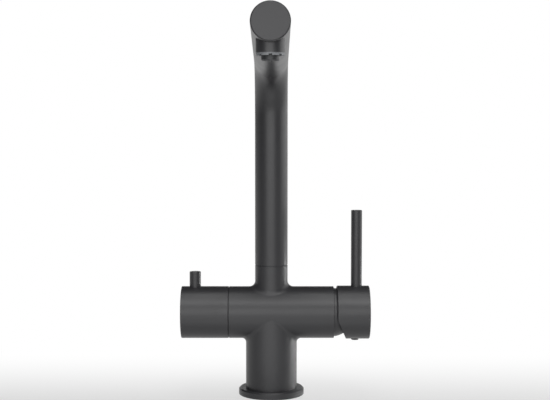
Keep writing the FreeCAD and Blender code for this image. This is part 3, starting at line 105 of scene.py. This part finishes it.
# The CAD nodes that keep their shape, by finish.
LACQUERED = ("base_ring", "body_casting", "cartridge_dome", "spout_end_cap", "outlet_housing",
             "filter_knob", "filter_knob_pin", "lever_cap", "lever_rod")
MOULDED = {
    "grey_acetal": ("aerator_ring",),
    "black_acetal": ("filter_nozzle", "lever_screw_plug", "spout_slide_ring", "filter_slide_ring"),
    "white_acetal": ("cartridge_base", "cartridge_housing", "mixer_rotor", "disc_carrier",
                     "filter_knob_insert", "riser_ferrule", "filter_riser_tube"),
    "nitrile_rubber": ("cartridge_seals", "valve_seat_seal", "spout_lower_seal",
                       "spout_upper_seal", "riser_ferrule_seal", "filter_spindle_seal",
                       "aerator_seal", "filter_valve_washer"),
}
MACHINED = {
    "turned_brass": ("spout_stem", "cartridge_clamp_nut", "filter_valve_body", "filter_spindle",
                     "riser_elbow"),
    "ground_steel": ("spout_retaining_screw", "lever_pivot_pin", "lever_grub_screw",
                     "filter_knob_screw", "filter_spindle_clip", "lever_spindle"),
    "lapped_ceramic": ("fixed_mixer_disc", "moving_mixer_disc", "fixed_filter_disc",
                       "moving_filter_disc"),
}


def linear(code):
    """Turn an sRGB hex colour into linear light."""
    shades = (int(code[place:place + 2], 16) / 255 for place in (1, 3, 5))
    return tuple(s / 12.92 if s <= 0.04045 else ((s + 0.055) / 1.055) ** 2.4 for s in shades)


def add(tree, kind, inputs=None, **settings):
    """Add a node to a tree, with its settings, and its inputs as values or as links."""
    node = tree.nodes.new(kind)
    for name, value in settings.items():
        setattr(node, name, value)
    for name, value in (inputs or {}).items():
        if isinstance(value, bpy.types.NodeSocket):
            tree.links.new(value, node.inputs[name])
        else:
            node.inputs[name].default_value = value
    return node


class TapSizes(bpy.types.PropertyGroup):
    """Sizes of the pieces that are made here."""

    spout_radius: FloatProperty(
        name="Spout Radius", description="Outer radius of the spout tube", unit="LENGTH",
        default=SPOUT_RADIUS)
    spout_wall: FloatProperty(
        name="Spout Wall", description="Wall of the spout tube", unit="LENGTH", default=1.5 * MM)
    corner_height: FloatProperty(
        name="Corner Height", description="Height where the spout's two straight axes cross",
        unit="LENGTH", default=301.5 * MM)
    bend_radius: FloatProperty(
        name="Bend Radius", description="Radius of the spout's bend on its centre line",
        unit="LENGTH", default=48 * MM)
    arm_rise: FloatProperty(
        name="Arm Rise", description="Slope of the spout's arm", subtype="ANGLE",
        default=ARM_RISE)
    arm_reach: FloatProperty(
        name="Arm Reach", description="Level length of the spout tube's arm", unit="LENGTH",
        default=-SPOUT_LOW.y - SPOUT_RADIUS * math.sin(ARM_RISE))
    ribs: IntProperty(
        name="Ribs", description="Number of ribs in the straightener's ring", default=44, min=3)
    nozzle_ribs: IntProperty(
        name="Nozzle Ribs", description="Number of ribs in the nozzle's bore", default=6, min=3)
    rib_width: FloatProperty(
        name="Rib Width", description="Thickness of a rib", unit="LENGTH", default=0.32 * MM)
    ring_rim: FloatProperty(
        name="Ring Rim", description="Thickness of the straightener's two rims", unit="LENGTH",
        default=0.25 * MM)
    nozzle_rim: FloatProperty(
        name="Nozzle Rim", description="Thickness of the nozzle grid's two rims", unit="LENGTH",
        default=0.3 * MM)
    nozzle_hub: FloatProperty(
        name="Nozzle Hub", description="Inner radius of the nozzle's grid", unit="LENGTH",
        default=0.45 * MM)
    nozzle_bore: FloatProperty(
        name="Nozzle Bore", description="Outer radius of the nozzle's grid", unit="LENGTH",
        default=1.98 * MM)
    nozzle_height: FloatProperty(
        name="Nozzle Grid Height", description="Height of the nozzle's grid", unit="LENGTH",
        default=3 * MM)
    nozzle_recess: FloatProperty(
        name="Nozzle Recess", description="Height of the grid's middle above the nozzle's mouth",
        unit="LENGTH", default=3 * MM)
    seal_lips: IntProperty(
        name="Seal Lips", description="Number of lips of the seal under the base ring", default=3,
        min=1)
    seal_width: FloatProperty(
        name="Seal Width", description="Width of the seal under the base ring", unit="LENGTH",
        default=3.92 * MM)
    lip_depth: FloatProperty(
        name="Lip Depth", description="Depth of a lip of the seal", unit="LENGTH",
        default=0.6 * MM)
    lip_steps: IntProperty(
        name="Lip Steps", description="Number of flats round a lip of the seal", default=8, min=2)


class TapFinish(bpy.types.PropertyGroup):
    """Colours and gloss of the tap's finishes."""

    lacquer: FloatVectorProperty(
        name="Lacquer", description="Anthracite of the outer pieces", subtype="COLOR",
        default=linear("#2A2A2C"), min=0, max=1)
    lacquer_roughness: FloatProperty(
        name="Lacquer Roughness", description="Roughness of the satin lacquer",
        default=0.40, min=0.05, max=1, subtype="FACTOR")
    grey: FloatVectorProperty(
        name="Grey Plastic", description="Colour of the aerator", subtype="COLOR",
        default=linear("#6E7073"), min=0, max=1)
    black: FloatVectorProperty(
        name="Black Plastic", description="Colour of the nozzle, plug and slide rings",
        subtype="COLOR", default=linear("#2A2B2D"), min=0, max=1)


class TapStudio(bpy.types.PropertyGroup):
    """Camera and light of the plain studio."""

    focal_length: FloatProperty(
        name="Focal Length", description="Focal length of the camera", default=78.545,
        unit="CAMERA")
    camera_side: FloatProperty(
        name="Camera Side", description="Distance of the camera to the right of the tap",
        default=0.00336, unit="LENGTH")
    camera_distance: FloatProperty(
        name="Camera Distance", description="Distance of the camera in front of the tap",
        default=1.102, unit="LENGTH")
    camera_height: FloatProperty(
        name="Camera Height", description="Height of the camera above the floor",
        default=0.2492, unit="LENGTH")
    camera_tilt: FloatProperty(
        name="Camera Tilt", description="Downward tilt of the camera",
        default=math.radians(3.6), subtype="ANGLE")
    ambient: FloatProperty(
        name="Ambient", description="Strength of the even light all around", default=0.05, min=0)
    floor: FloatVectorProperty(
        name="Floor", description="Colour of the floor and the backdrop", subtype="COLOR",
        default=linear("#C0C0C0"), min=0, max=1)


def finish(name, tones, blotch, roughness, grain, relief, metallic=0.0):
    """Make a finish with two close tones in soft blotches, uneven gloss and a fine relief.

    blotch and grain are the patterns' sizes and relief is the grain's depth, in millimetres.
    roughness goes from its first value to its second with the blotches.
    """
    material = bpy.data.materials.new(name)
    material.use_nodes = True
    tree = material.node_tree
    shader = tree.nodes["Principled BSDF"]
    shader.inputs["Metallic"].default_value = metallic
    place = add(tree, "ShaderNodeTexCoord").outputs["Object"]
    clouds = add(tree, "ShaderNodeTexNoise", {
        "Vector": place, "Scale": 1 / (blotch * MM), "Detail": 3})
    ends = {6: (*tones[0], 1), 7: (*tones[1], 1)}
    colour = add(tree, "ShaderNodeMix", {0: clouds.outputs["Fac"], **ends}, data_type="RGBA")
    tree.links.new(colour.outputs[2], shader.inputs["Base Color"])
    grit = add(tree, "ShaderNodeTexNoise", {
        "Vector": place, "Scale": 1 / (grain * MM), "Detail": 2})
    gloss = add(tree, "ShaderNodeMapRange", {
        "Value": clouds.outputs["Fac"], "From Min": 0.3, "From Max": 0.7,
        "To Min": roughness[0], "To Max": roughness[1]})
    tree.links.new(gloss.outputs["Result"], shader.inputs["Roughness"])
    bump = add(tree, "ShaderNodeBump", {"Height": grit.outputs["Fac"], "Distance": relief * MM})
    tree.links.new(bump.outputs["Normal"], shader.inputs["Normal"])
    return material


def near_tones(colour, spread):
    """Give a slightly darker and a slightly lighter tone of a colour."""
    return [tuple(c * (1 + step) for c in colour) for step in (-spread, spread)]


def finish_called(name):
    """Give one of the tap's finishes, made when it is first asked for."""
    if name in bpy.data.materials:
        return bpy.data.materials[name]
    chosen = bpy.context.scene.tap_finish
    satin = chosen.lacquer_roughness
    # Tones, blotch, roughness, grain, relief and, for a bare metal, metallic.
    recipes = {
        # Satin stoving lacquer on brass: dark grey, broad soft highlights and a faint orange
        # peel. The real peel is about 0.3 mm and is drawn at 0.9 mm so that it shows.
        "satin_lacquer": (near_tones(chosen.lacquer, 0.04), 18, (satin - 0.02, satin + 0.02),
                          0.9, 0.0012),
        # Acetal from an eroded mould: even grey with a dull sheen. The real grit of 0.05 mm is
        # drawn at 0.4 mm.
        "grey_acetal": (near_tones(chosen.grey, 0.05), 3, (0.42, 0.5), 0.4, 0.006),
        # The same acetal, dyed black: a dark, slightly waxy surface.
        "black_acetal": (near_tones(chosen.black, 0.08), 3, (0.4, 0.5), 0.4, 0.006),
        # Natural acetal: milky white, smooth from the mould.
        "white_acetal": (near_tones(linear("#DCDCD6"), 0.03), 5, (0.38, 0.46), 0.4, 0.004),
        # Pressed nitrile rubber: black, matt, with a slight bloom on it.
        "nitrile_rubber": ([linear("#18181A"), linear("#252527")], 2, (0.6, 0.75), 0.3, 0.008),
        # Turned brass: warm yellow with fine tool marks and a little tarnish.
        "turned_brass": ([linear("#B8985A"), linear("#C9A866")], 4, (0.22, 0.34),
                         0.25, 0.004, 1.0),
        # Ground stainless steel: cool light grey with a fine, even grind.
        "ground_steel": ([linear("#B4B6B8"), linear("#C4C6C8")], 3, (0.24, 0.34),
                         0.2, 0.003, 1.0),
        # Lapped alumina: off-white, very hard and smooth, with a soft gloss.
        "lapped_ceramic": (near_tones(linear("#E9E6DF"), 0.02), 4, (0.16, 0.22), 0.3, 0.001),
    }
    return finish(name, *recipes[name])


def dress(nodes, material):
    """Give CAD nodes a finish."""
    for name in nodes:
        for slot in frame["nodes"][name].material_slots:
            slot.material = material


def linked(name, mesh):
    """Put a mesh into the scene as an object at the origin."""
    piece = bpy.data.objects.new(name, mesh)
    bpy.context.collection.objects.link(piece)
    return piece


def settled(piece):
    """Turn what a piece's modifiers make into its plain mesh."""
    depsgraph = bpy.context.evaluated_depsgraph_get()
    mesh = bpy.data.meshes.new_from_object(
        piece.evaluated_get(depsgraph), preserve_all_data_layers=True, depsgraph=depsgraph)
    if not mesh.polygons:
        raise RuntimeError(f"{piece.name} came out empty")
    piece.modifiers.clear()
    piece.data = mesh
    return piece


def tree_with(name, inputs):
    """Start a geometry tree with named inputs, and give it with its inputs' sockets."""
    tree = bpy.data.node_groups.new(name, "GeometryNodeTree")
    for label, kind in inputs.items():
        tree.interface.new_socket(label, in_out="INPUT", socket_type=f"NodeSocket{kind}")
    tree.interface.new_socket("Geometry", in_out="OUTPUT", socket_type="NodeSocketGeometry")
    return tree, add(tree, "NodeGroupInput").outputs


def end_tree(tree, geometry, material):
    """Close a geometry tree with real meshes that carry their material."""
    real = add(tree, "GeometryNodeRealizeInstances", {"Geometry": geometry})
    made = add(tree, "GeometryNodeSetMaterial",
               {"Geometry": real.outputs["Geometry"], "Material": material})
    add(tree, "NodeGroupOutput", {"Geometry": made.outputs["Geometry"]})


def grow(piece, tree, values):
    """Give a piece a geometry tree, with its inputs set by their sockets' identifiers."""
    shape = piece.modifiers.new("shape", "NODES")
    shape.node_group = tree
    for socket in tree.interface.items_tree:
        if socket.name in values:
            shape[socket.identifier] = values[socket.name]


def points_mesh(name, points, edges=()):
    """Make a mesh of bare points and edges, for a geometry tree to grow on."""
    mesh = bpy.data.meshes.new(name)
    mesh.from_pydata(points, edges, [])
    return mesh


def outward(mesh):
    """Merge doubles, turn the faces outwards and smooth all but the sharp edges."""
    shape = bmesh.new()
    shape.from_mesh(mesh)
    bmesh.ops.remove_doubles(shape, verts=shape.verts, dist=MERGE_DISTANCE)
    bmesh.ops.recalc_face_normals(shape, faces=shape.faces)
    for face in shape.faces:
        face.smooth = True
    shape.to_mesh(mesh)
    shape.free()
    mesh.set_sharp_from_angle(angle=CREASE)


class TAP_OT_lacquered_pieces(bpy.types.Operator):
    """Give the outer pieces their satin anthracite lacquer"""

    bl_idname = "tap.lacquered_pieces"
    bl_label = "Lacquered Pieces"

    def execute(self, context):
        dress(LACQUERED, finish_called("satin_lacquer"))
        return {"FINISHED"}


class TAP_OT_moulded_pieces(bpy.types.Operator):
    """Give the plastic and rubber pieces their finishes"""

    bl_idname = "tap.moulded_pieces"
    bl_label = "Moulded Pieces"

    def execute(self, context):
        for name, nodes in MOULDED.items():
            dress(nodes, finish_called(name))
        return {"FINISHED"}


class TAP_OT_machined_pieces(bpy.types.Operator):
    """Give the brass, steel and ceramic pieces their finishes"""

    bl_idname = "tap.machined_pieces"
    bl_label = "Machined Pieces"

    def execute(self, context):
        for name, nodes in MACHINED.items():
            dress(nodes, finish_called(name))
        return {"FINISHED"}


def spout_tree():
    """Sweep a round tube along a route whose corner is bent."""
    tree, given = tree_with("spout_sweep", {
        "Route": "Geometry", "Radius": "Float", "Bend Radius": "Float", "Bend Steps": "Int",
        "Step": "Float", "Sides": "Int", "Material": "Material"})
    route = add(tree, "GeometryNodeMeshToCurve", {"Mesh": given["Route"]})
    bend = add(tree, "GeometryNodeFilletCurve", {
        "Curve": route.outputs["Curve"], "Count": given["Bend Steps"],
        "Radius": given["Bend Radius"]}, mode="POLY")
    line = add(tree, "GeometryNodeResampleCurve", {
        "Curve": bend.outputs["Curve"], "Length": given["Step"]}, mode="LENGTH")
    ring = add(tree, "GeometryNodeCurvePrimitiveCircle", {
        "Resolution": given["Sides"], "Radius": given["Radius"]}, mode="RADIUS")
    tube = add(tree, "GeometryNodeCurveToMesh", {
        "Curve": line.outputs["Curve"], "Profile Curve": ring.outputs["Curve"]})
    end_tree(tree, tube.outputs["Mesh"], given["Material"])
    return tree


class TAP_OT_spout_tube(bpy.types.Operator):
    """Sweep the bent spout tube, and cut the hole for its outlet"""

    bl_idname = "tap.spout_tube"
    bl_label = "Spout Tube"

    def execute(self, context):
        sizes = context.scene.tap_sizes
        lacquer = finish_called("satin_lacquer")
        end = Vector((0, -sizes.arm_reach,
                      sizes.corner_height + sizes.arm_reach * math.tan(sizes.arm_rise)))
        route = [(0, 0, SPOUT_LOW.z), (0, 0, sizes.corner_height), end]
        spout = linked("spout_sweep", points_mesh("spout_sweep", route, [(0, 1), (1, 2)]))
        grow(spout, spout_tree(), {
            "Radius": sizes.spout_radius, "Bend Radius": sizes.bend_radius, "Bend Steps": 32,
            "Step": 4 * MM, "Sides": ROUND_SIDES, "Material": lacquer})
        outward(settled(spout).data)

        wall = spout.modifiers.new("wall", "SOLIDIFY")
        wall.thickness = sizes.spout_wall
        wall.offset = -1
        wall.use_even_offset = True
        shape = bmesh.new()
        radius = (OUTLET_HIGH.x - OUTLET_LOW.x) / 2 + SEAT_CLEARANCE
        bmesh.ops.create_cone(shape, cap_ends=True, segments=ROUND_SIDES, radius1=radius,
                              radius2=radius, depth=OUTLET_HIGH.z - OUTLET_LOW.z)
        middle = Vector((OUTLET_X, OUTLET_Y, (OUTLET_LOW.z + OUTLET_HIGH.z) / 2))
        bmesh.ops.translate(shape, verts=shape.verts, vec=middle)
        plug = bpy.data.meshes.new("outlet_hole")
        shape.to_mesh(plug)
        shape.free()
        hole = linked("outlet_hole", plug)
        cut = spout.modifiers.new("outlet", "BOOLEAN")
        cut.operation = "DIFFERENCE"
        cut.solver = "EXACT"
        cut.object = hole
        settled(spout)
        bpy.data.objects.remove(hole)
        spout.data.set_sharp_from_angle(angle=CREASE)
        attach(spout, "spout")
        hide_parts("spout_tube")
        return {"FINISHED"}


def ribbed_ring_tree():
    """Make two rims with upright ribs between them."""
    tree, given = tree_with("ribbed_ring", {
        "Inner Radius": "Float", "Outer Radius": "Float", "Rim": "Float", "Height": "Float",
        "Ribs": "Int", "Rib Width": "Float", "Middle": "Vector", "Material": "Material"})
    band = add(tree, "GeometryNodeCurvePrimitiveQuadrilateral", {
        "Width": given["Rim"], "Height": given["Height"]})
    half = add(tree, "ShaderNodeMath", {0: given["Rim"], 1: 0.5}, operation="MULTIPLY")
    rims = []
    for limit, step in (("Inner Radius", "ADD"), ("Outer Radius", "SUBTRACT")):
        line = add(tree, "ShaderNodeMath", {0: given[limit], 1: half.outputs[0]}, operation=step)
        loop = add(tree, "GeometryNodeCurvePrimitiveCircle", {
            "Resolution": ROUND_SIDES, "Radius": line.outputs[0]}, mode="RADIUS")
        rim = add(tree, "GeometryNodeCurveToMesh", {
            "Curve": loop.outputs["Curve"], "Profile Curve": band.outputs["Curve"]})
        rims.append((line, rim))
    (inner, inner_rim), (outer, outer_rim) = rims
    reach = add(tree, "ShaderNodeMath", {0: outer.outputs[0], 1: inner.outputs[0]},
                operation="SUBTRACT")
    total = add(tree, "ShaderNodeMath", {0: outer.outputs[0], 1: inner.outputs[0]},
                operation="ADD")
    centre = add(tree, "ShaderNodeMath", {0: total.outputs[0], 1: 0.5}, operation="MULTIPLY")
    size = add(tree, "ShaderNodeCombineXYZ", {
        "X": reach.outputs[0], "Y": given["Rib Width"], "Z": given["Height"]})
    rib = add(tree, "GeometryNodeMeshCube", {"Size": size.outputs["Vector"]})
    spots = add(tree, "GeometryNodeMeshCircle", {
        "Vertices": given["Ribs"], "Radius": centre.outputs[0]}, fill_type="NONE")
    here = add(tree, "GeometryNodeInputPosition")
    turn = add(tree, "FunctionNodeAlignRotationToVector", {
        "Vector": here.outputs["Position"]}, axis="X", pivot_axis="Z")
    ribs = add(tree, "GeometryNodeInstanceOnPoints", {
        "Points": spots.outputs["Mesh"], "Instance": rib.outputs["Mesh"],
        "Rotation": turn.outputs["Rotation"]})
    whole = add(tree, "GeometryNodeJoinGeometry")
    for part in (inner_rim.outputs["Mesh"], outer_rim.outputs["Mesh"], ribs.outputs["Instances"]):
        tree.links.new(part, whole.inputs["Geometry"])
    placed = add(tree, "GeometryNodeTransform", {
        "Geometry": whole.outputs["Geometry"], "Translation": given["Middle"]})
    end_tree(tree, placed.outputs["Geometry"], given["Material"])
    return tree


class TAP_OT_outlet_grids(bpy.types.Operator):
    """Make the ribbed rings that calm the water in the aerator and in the nozzle"""

    bl_idname = "tap.outlet_grids"
    bl_label = "Outlet Grids"

    def execute(self, context):
        sizes = context.scene.tap_sizes
        tree = ribbed_ring_tree()
        grid_radius = (GRID_HIGH.x - GRID_LOW.x) / 2
        nozzle_radius = (NOZZLE_HIGH.x - NOZZLE_LOW.x) / 2
        grids = {
            "aerator_grid": ("grey_acetal", {
                "Inner Radius": nozzle_radius + SEAT_CLEARANCE, "Outer Radius": grid_radius,
                "Rim": sizes.ring_rim, "Height": GRID_HIGH.z - GRID_LOW.z, "Ribs": sizes.ribs,
                "Middle": (OUTLET_X, OUTLET_Y, (GRID_LOW.z + GRID_HIGH.z) / 2)}),
            "nozzle_grid": ("black_acetal", {
                "Inner Radius": sizes.nozzle_hub, "Outer Radius": sizes.nozzle_bore,
                "Rim": sizes.nozzle_rim, "Height": sizes.nozzle_height, "Ribs": sizes.nozzle_ribs,
                "Middle": (OUTLET_X, OUTLET_Y, NOZZLE_LOW.z + sizes.nozzle_recess)}),
        }
        for name, (material, values) in grids.items():
            grid = linked(name, bpy.data.meshes.new(name))
            grow(grid, tree, {"Rib Width": sizes.rib_width, "Material": finish_called(material),
                              **values})
            outward(settled(grid).data)
            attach(grid, "spout")
        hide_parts("aerator_straightener")
        return {"FINISHED"}


def thread_tree():
    """Wind a screw thread's ridge inside a hole, at each of some points."""
    tree, given = tree_with("screw_thread", {
        "Holes": "Geometry", "Radius": "Float", "Pitch": "Float", "Depth": "Float",
        "Ridge": "Float", "Material": "Material"})
    turns = add(tree, "ShaderNodeMath", {0: given["Depth"], 1: given["Pitch"]},
                operation="DIVIDE")
    helix = add(tree, "GeometryNodeCurveSpiral", {
        "Resolution": 40, "Rotations": turns.outputs[0], "Start Radius": given["Radius"],
        "End Radius": given["Radius"], "Height": given["Depth"]})
    upright = add(tree, "GeometryNodeSetCurveNormal", {"Curve": helix.outputs["Curve"]},
                  mode="Z_UP")
    # Three sides give the ridge its edge.
    tooth = add(tree, "GeometryNodeCurvePrimitiveCircle", {
        "Resolution": 3, "Radius": given["Ridge"]}, mode="RADIUS")
    ridge = add(tree, "GeometryNodeCurveToMesh", {
        "Curve": upright.outputs["Curve"], "Profile Curve": tooth.outputs["Curve"],
        "Fill Caps": True})
    threads = add(tree, "GeometryNodeInstanceOnPoints", {
        "Points": given["Holes"], "Instance": ridge.outputs["Mesh"]})
    end_tree(tree, threads.outputs["Instances"], given["Material"])
    return tree


class TAP_OT_screw_threads(bpy.types.Operator):
    """Wind the threads in the three inlets and in the two holes of the fixing studs"""

    bl_idname = "tap.screw_threads"
    bl_label = "Screw Threads"

    def execute(self, context):
        tree = thread_tree()
        inlets = [MOUNTS[name] for name in ("cold_inlet", "hot_inlet", "filtered_inlet")]
        studs = MOUNTS["fixing_studs"]
        mouth = Vector(studs["pos_m"])
        apart = Vector((0, studs["dims"]["spacing_y_mm"] / 2 * MM, 0))
        # All holes open in the same face, at the height of the studs' mount.
        wound = {
            "inlet_threads": ([Vector((*inlet["pos_m"][:2], mouth.z)) for inlet in inlets],
                              inlets[0]["dims"]["r_mm"] * MM, INLET_THREAD),
            "stud_threads": ([mouth + apart, mouth - apart],
                             studs["dims"]["hole_r_mm"] * MM, STUD_THREAD),
        }
        for name, (mouths, radius, (pitch, depth, start)) in wound.items():
            holes = [place + Vector((0, 0, start)) for place in mouths]
            thread = linked(name, points_mesh(name, holes))
            grow(thread, tree, {
                "Radius": radius, "Pitch": pitch, "Depth": depth, "Ridge": RIDGE_SHARE * pitch,
                "Material": finish_called("turned_brass")})
            outward(settled(thread).data)
            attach(thread, "fixed_body")
        return {"FINISHED"}


class TAP_OT_deck_seal(bpy.types.Operator):
    """Turn the seal under the base ring, with round lips on its underside"""

    bl_idname = "tap.deck_seal"
    bl_label = "Deck Seal"

    def execute(self, context):
        sizes = context.scene.tap_sizes
        outer = (SEAL_HIGH.x - SEAL_LOW.x) / 2
        lip = sizes.seal_width / sizes.seal_lips
        outline = [(outer - sizes.seal_width, SEAL_HIGH.z), (outer, SEAL_HIGH.z)]
        for index in range(sizes.seal_lips):
            middle = outer - lip * (index + 0.5)
            for step in range(sizes.lip_steps + 1):
                angle = math.pi * step / sizes.lip_steps
                outline.append((middle + lip / 2 * math.cos(angle),
                                SEAL_LOW.z + sizes.lip_depth * (1 - math.sin(angle))))
        shape = bmesh.new()
        corners = [shape.verts.new((radius, 0, height)) for radius, height in outline]
        edges = [shape.edges.new(pair) for pair in zip(corners, corners[1:] + corners[:1])]
        bmesh.ops.spin(shape, geom=corners + edges, cent=(0, 0, 0), axis=(0, 0, 1),
                       angle=2 * math.pi, steps=ROUND_SIDES, use_merge=True)
        mesh = bpy.data.meshes.new("deck_seal_lips")
        shape.to_mesh(mesh)
        shape.free()
        outward(mesh)
        mesh.materials.append(finish_called("nitrile_rubber"))
        seal = linked("deck_seal_lips", mesh)
        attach(seal, "fixed_body")
        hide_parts("deck_seal")
        return {"FINISHED"}


def soft_box(name, azimuth, elevation, distance, width, height, power, aim=TAP_MIDDLE, spread=180):
    """Hang a soft box that faces its aim.

    A spread under 180 degrees is a grid on its front, which keeps its light on what it aims at.
    """
    lamp = bpy.data.lights.new(name, "AREA")
    lamp.shape = "RECTANGLE"
    lamp.size = width
    lamp.size_y = height
    lamp.energy = power
    lamp.spread = math.radians(spread)
    light = bpy.data.objects.new(name, lamp)
    side, up = math.radians(azimuth), math.radians(elevation)
    away = Vector((math.sin(side) * math.cos(up), -math.cos(side) * math.cos(up), math.sin(up)))
    light.location = Vector(aim) + away * distance
    light.rotation_mode = "QUATERNION"
    light.rotation_quaternion = away.to_track_quat("Z", "Y")
    light.visible_camera = False
    bpy.context.collection.objects.link(light)


def white_paper(name, colour, least, reach):
    """Make a satin paper that the camera and mirrors see turn to plain white behind the tap.

    The white's share grows from the least to all between the two distances of reach behind the
    tap, so the paper keeps the tap's shadow.
    """
    material = bpy.data.materials.new(name)
    material.use_nodes = True
    tree = material.node_tree
    tree.nodes.clear()
    place = add(tree, "ShaderNodeTexCoord").outputs["Object"]
    axes = add(tree, "ShaderNodeSeparateXYZ", {"Vector": place})
    behind = add(tree, "ShaderNodeMapRange", {
        "Value": axes.outputs["Y"], "From Min": reach[0], "From Max": reach[1], "To Min": least},
        interpolation_type="SMOOTHSTEP")
    path = add(tree, "ShaderNodeLightPath").outputs
    seen = add(tree, "ShaderNodeMath", {
        0: path["Is Camera Ray"], 1: path["Is Glossy Ray"]}, operation="MAXIMUM")
    seen = add(tree, "ShaderNodeMath", {
        0: seen.outputs[0], 1: path["Is Transmission Ray"]}, operation="MAXIMUM")
    share = add(tree, "ShaderNodeMath", {
        0: behind.outputs["Result"], 1: seen.outputs[0]}, operation="MULTIPLY")
    lit = add(tree, "ShaderNodeBsdfPrincipled", {"Base Color": (*colour, 1), "Roughness": 0.5})
    white = add(tree, "ShaderNodeEmission", {"Strength": 1.0})
    both = add(tree, "ShaderNodeMixShader", {
        0: share.outputs[0], 1: lit.outputs["BSDF"], 2: white.outputs["Emission"]})
    add(tree, "ShaderNodeOutputMaterial", {"Surface": both.outputs["Shader"]})
    return material


class TAP_OT_studio(bpy.types.Operator):
    """Set up the floor, the backdrop, the light and the camera"""

    bl_idname = "tap.studio"
    bl_label = "Studio"

    def execute(self, context):
        studio = context.scene.tap_studio
        world = bpy.data.worlds.new("studio_air")
        world.use_nodes = True
        air = world.node_tree.nodes["Background"]
        air.inputs["Color"].default_value = (1, 1, 1, 1)
        air.inputs["Strength"].default_value = studio.ambient
        context.scene.world = world

        shape = bmesh.new()
        bmesh.ops.create_circle(shape, cap_ends=True, segments=ROUND_SIDES, radius=FLOOR_RADIUS,
                                matrix=Matrix.Translation((0, 0, -FLOOR_DROP)))
        ground = bpy.data.meshes.new("floor")
        shape.to_mesh(ground)
        shape.free()
        screen = bpy.data.meshes.new("backdrop")
        corners = [(BACKDROP_LEFT, 0), (BACKDROP_RIGHT, 0), (BACKDROP_RIGHT, BACKDROP_TOP),
                   (BACKDROP_LEFT, BACKDROP_TOP)]
        screen.from_pydata([(across, BACKDROP_BACK, up) for across, up in corners], [],
                           [(0, 1, 2, 3)])
        paper = white_paper("studio_paper", studio.floor, WHITE_LEAST, WHITE_REACH)
        for name, mesh in (("floor", ground), ("backdrop", screen)):
            mesh.materials.append(paper)
            linked(name, mesh)

        for name, values in SOFT_BOXES.items():
            soft_box(name, *values)

        lens = bpy.data.cameras.new("camera")
        lens.sensor_width = SENSOR_WIDTH
        lens.lens = studio.focal_length
        camera = bpy.data.objects.new("camera", lens)
        camera.location = (studio.camera_side, -studio.camera_distance, studio.camera_height)
        camera.rotation_euler = (math.pi / 2 - studio.camera_tilt, 0, 0)
        context.collection.objects.link(camera)
        context.scene.camera = camera
        context.scene.view_settings.view_transform = "Standard"
        return {"FINISHED"}


class TAP_PT_panel(bpy.types.Panel):
    """The tap's pieces and finishes"""

    bl_idname = "TAP_PT_panel"
    bl_label = "Tap"
    bl_space_type = "VIEW_3D"
    bl_region_type = "UI"
    bl_category = "Tap"

    def draw(self, context):
        for step in STEPS:
            self.layout.operator(step.bl_idname)
        for name, group in GROUPS.items():
            values = getattr(context.scene, name)
            for label in group.__annotations__:
                self.layout.prop(values, label)


GROUPS = {"tap_sizes": TapSizes, "tap_finish": TapFinish, "tap_studio": TapStudio}
STEPS = (TAP_OT_lacquered_pieces, TAP_OT_moulded_pieces, TAP_OT_machined_pieces,
         TAP_OT_spout_tube, TAP_OT_outlet_grids, TAP_OT_screw_threads, TAP_OT_deck_seal,
         TAP_OT_studio)


def register():
    """Register the classes and hang the groups of values on the scene."""
    for made in (*GROUPS.values(), *STEPS, TAP_PT_panel):
        bpy.utils.register_class(made)
    for name, group in GROUPS.items():
        setattr(bpy.types.Scene, name, PointerProperty(type=group))


def unregister():
    """Take the groups of values and the classes away again."""
    for name in GROUPS:
        delattr(bpy.types.Scene, name)
    for made in (TAP_PT_panel, *reversed(STEPS), *reversed(GROUPS.values())):
        bpy.utils.unregister_class(made)


def main():
    """Build the dressed tap in its studio."""
    register()
    for step in STEPS:
        family, name = step.bl_idname.split(".")
        getattr(getattr(bpy.ops, family), name)()


if __name__ == "__main__":
    main()
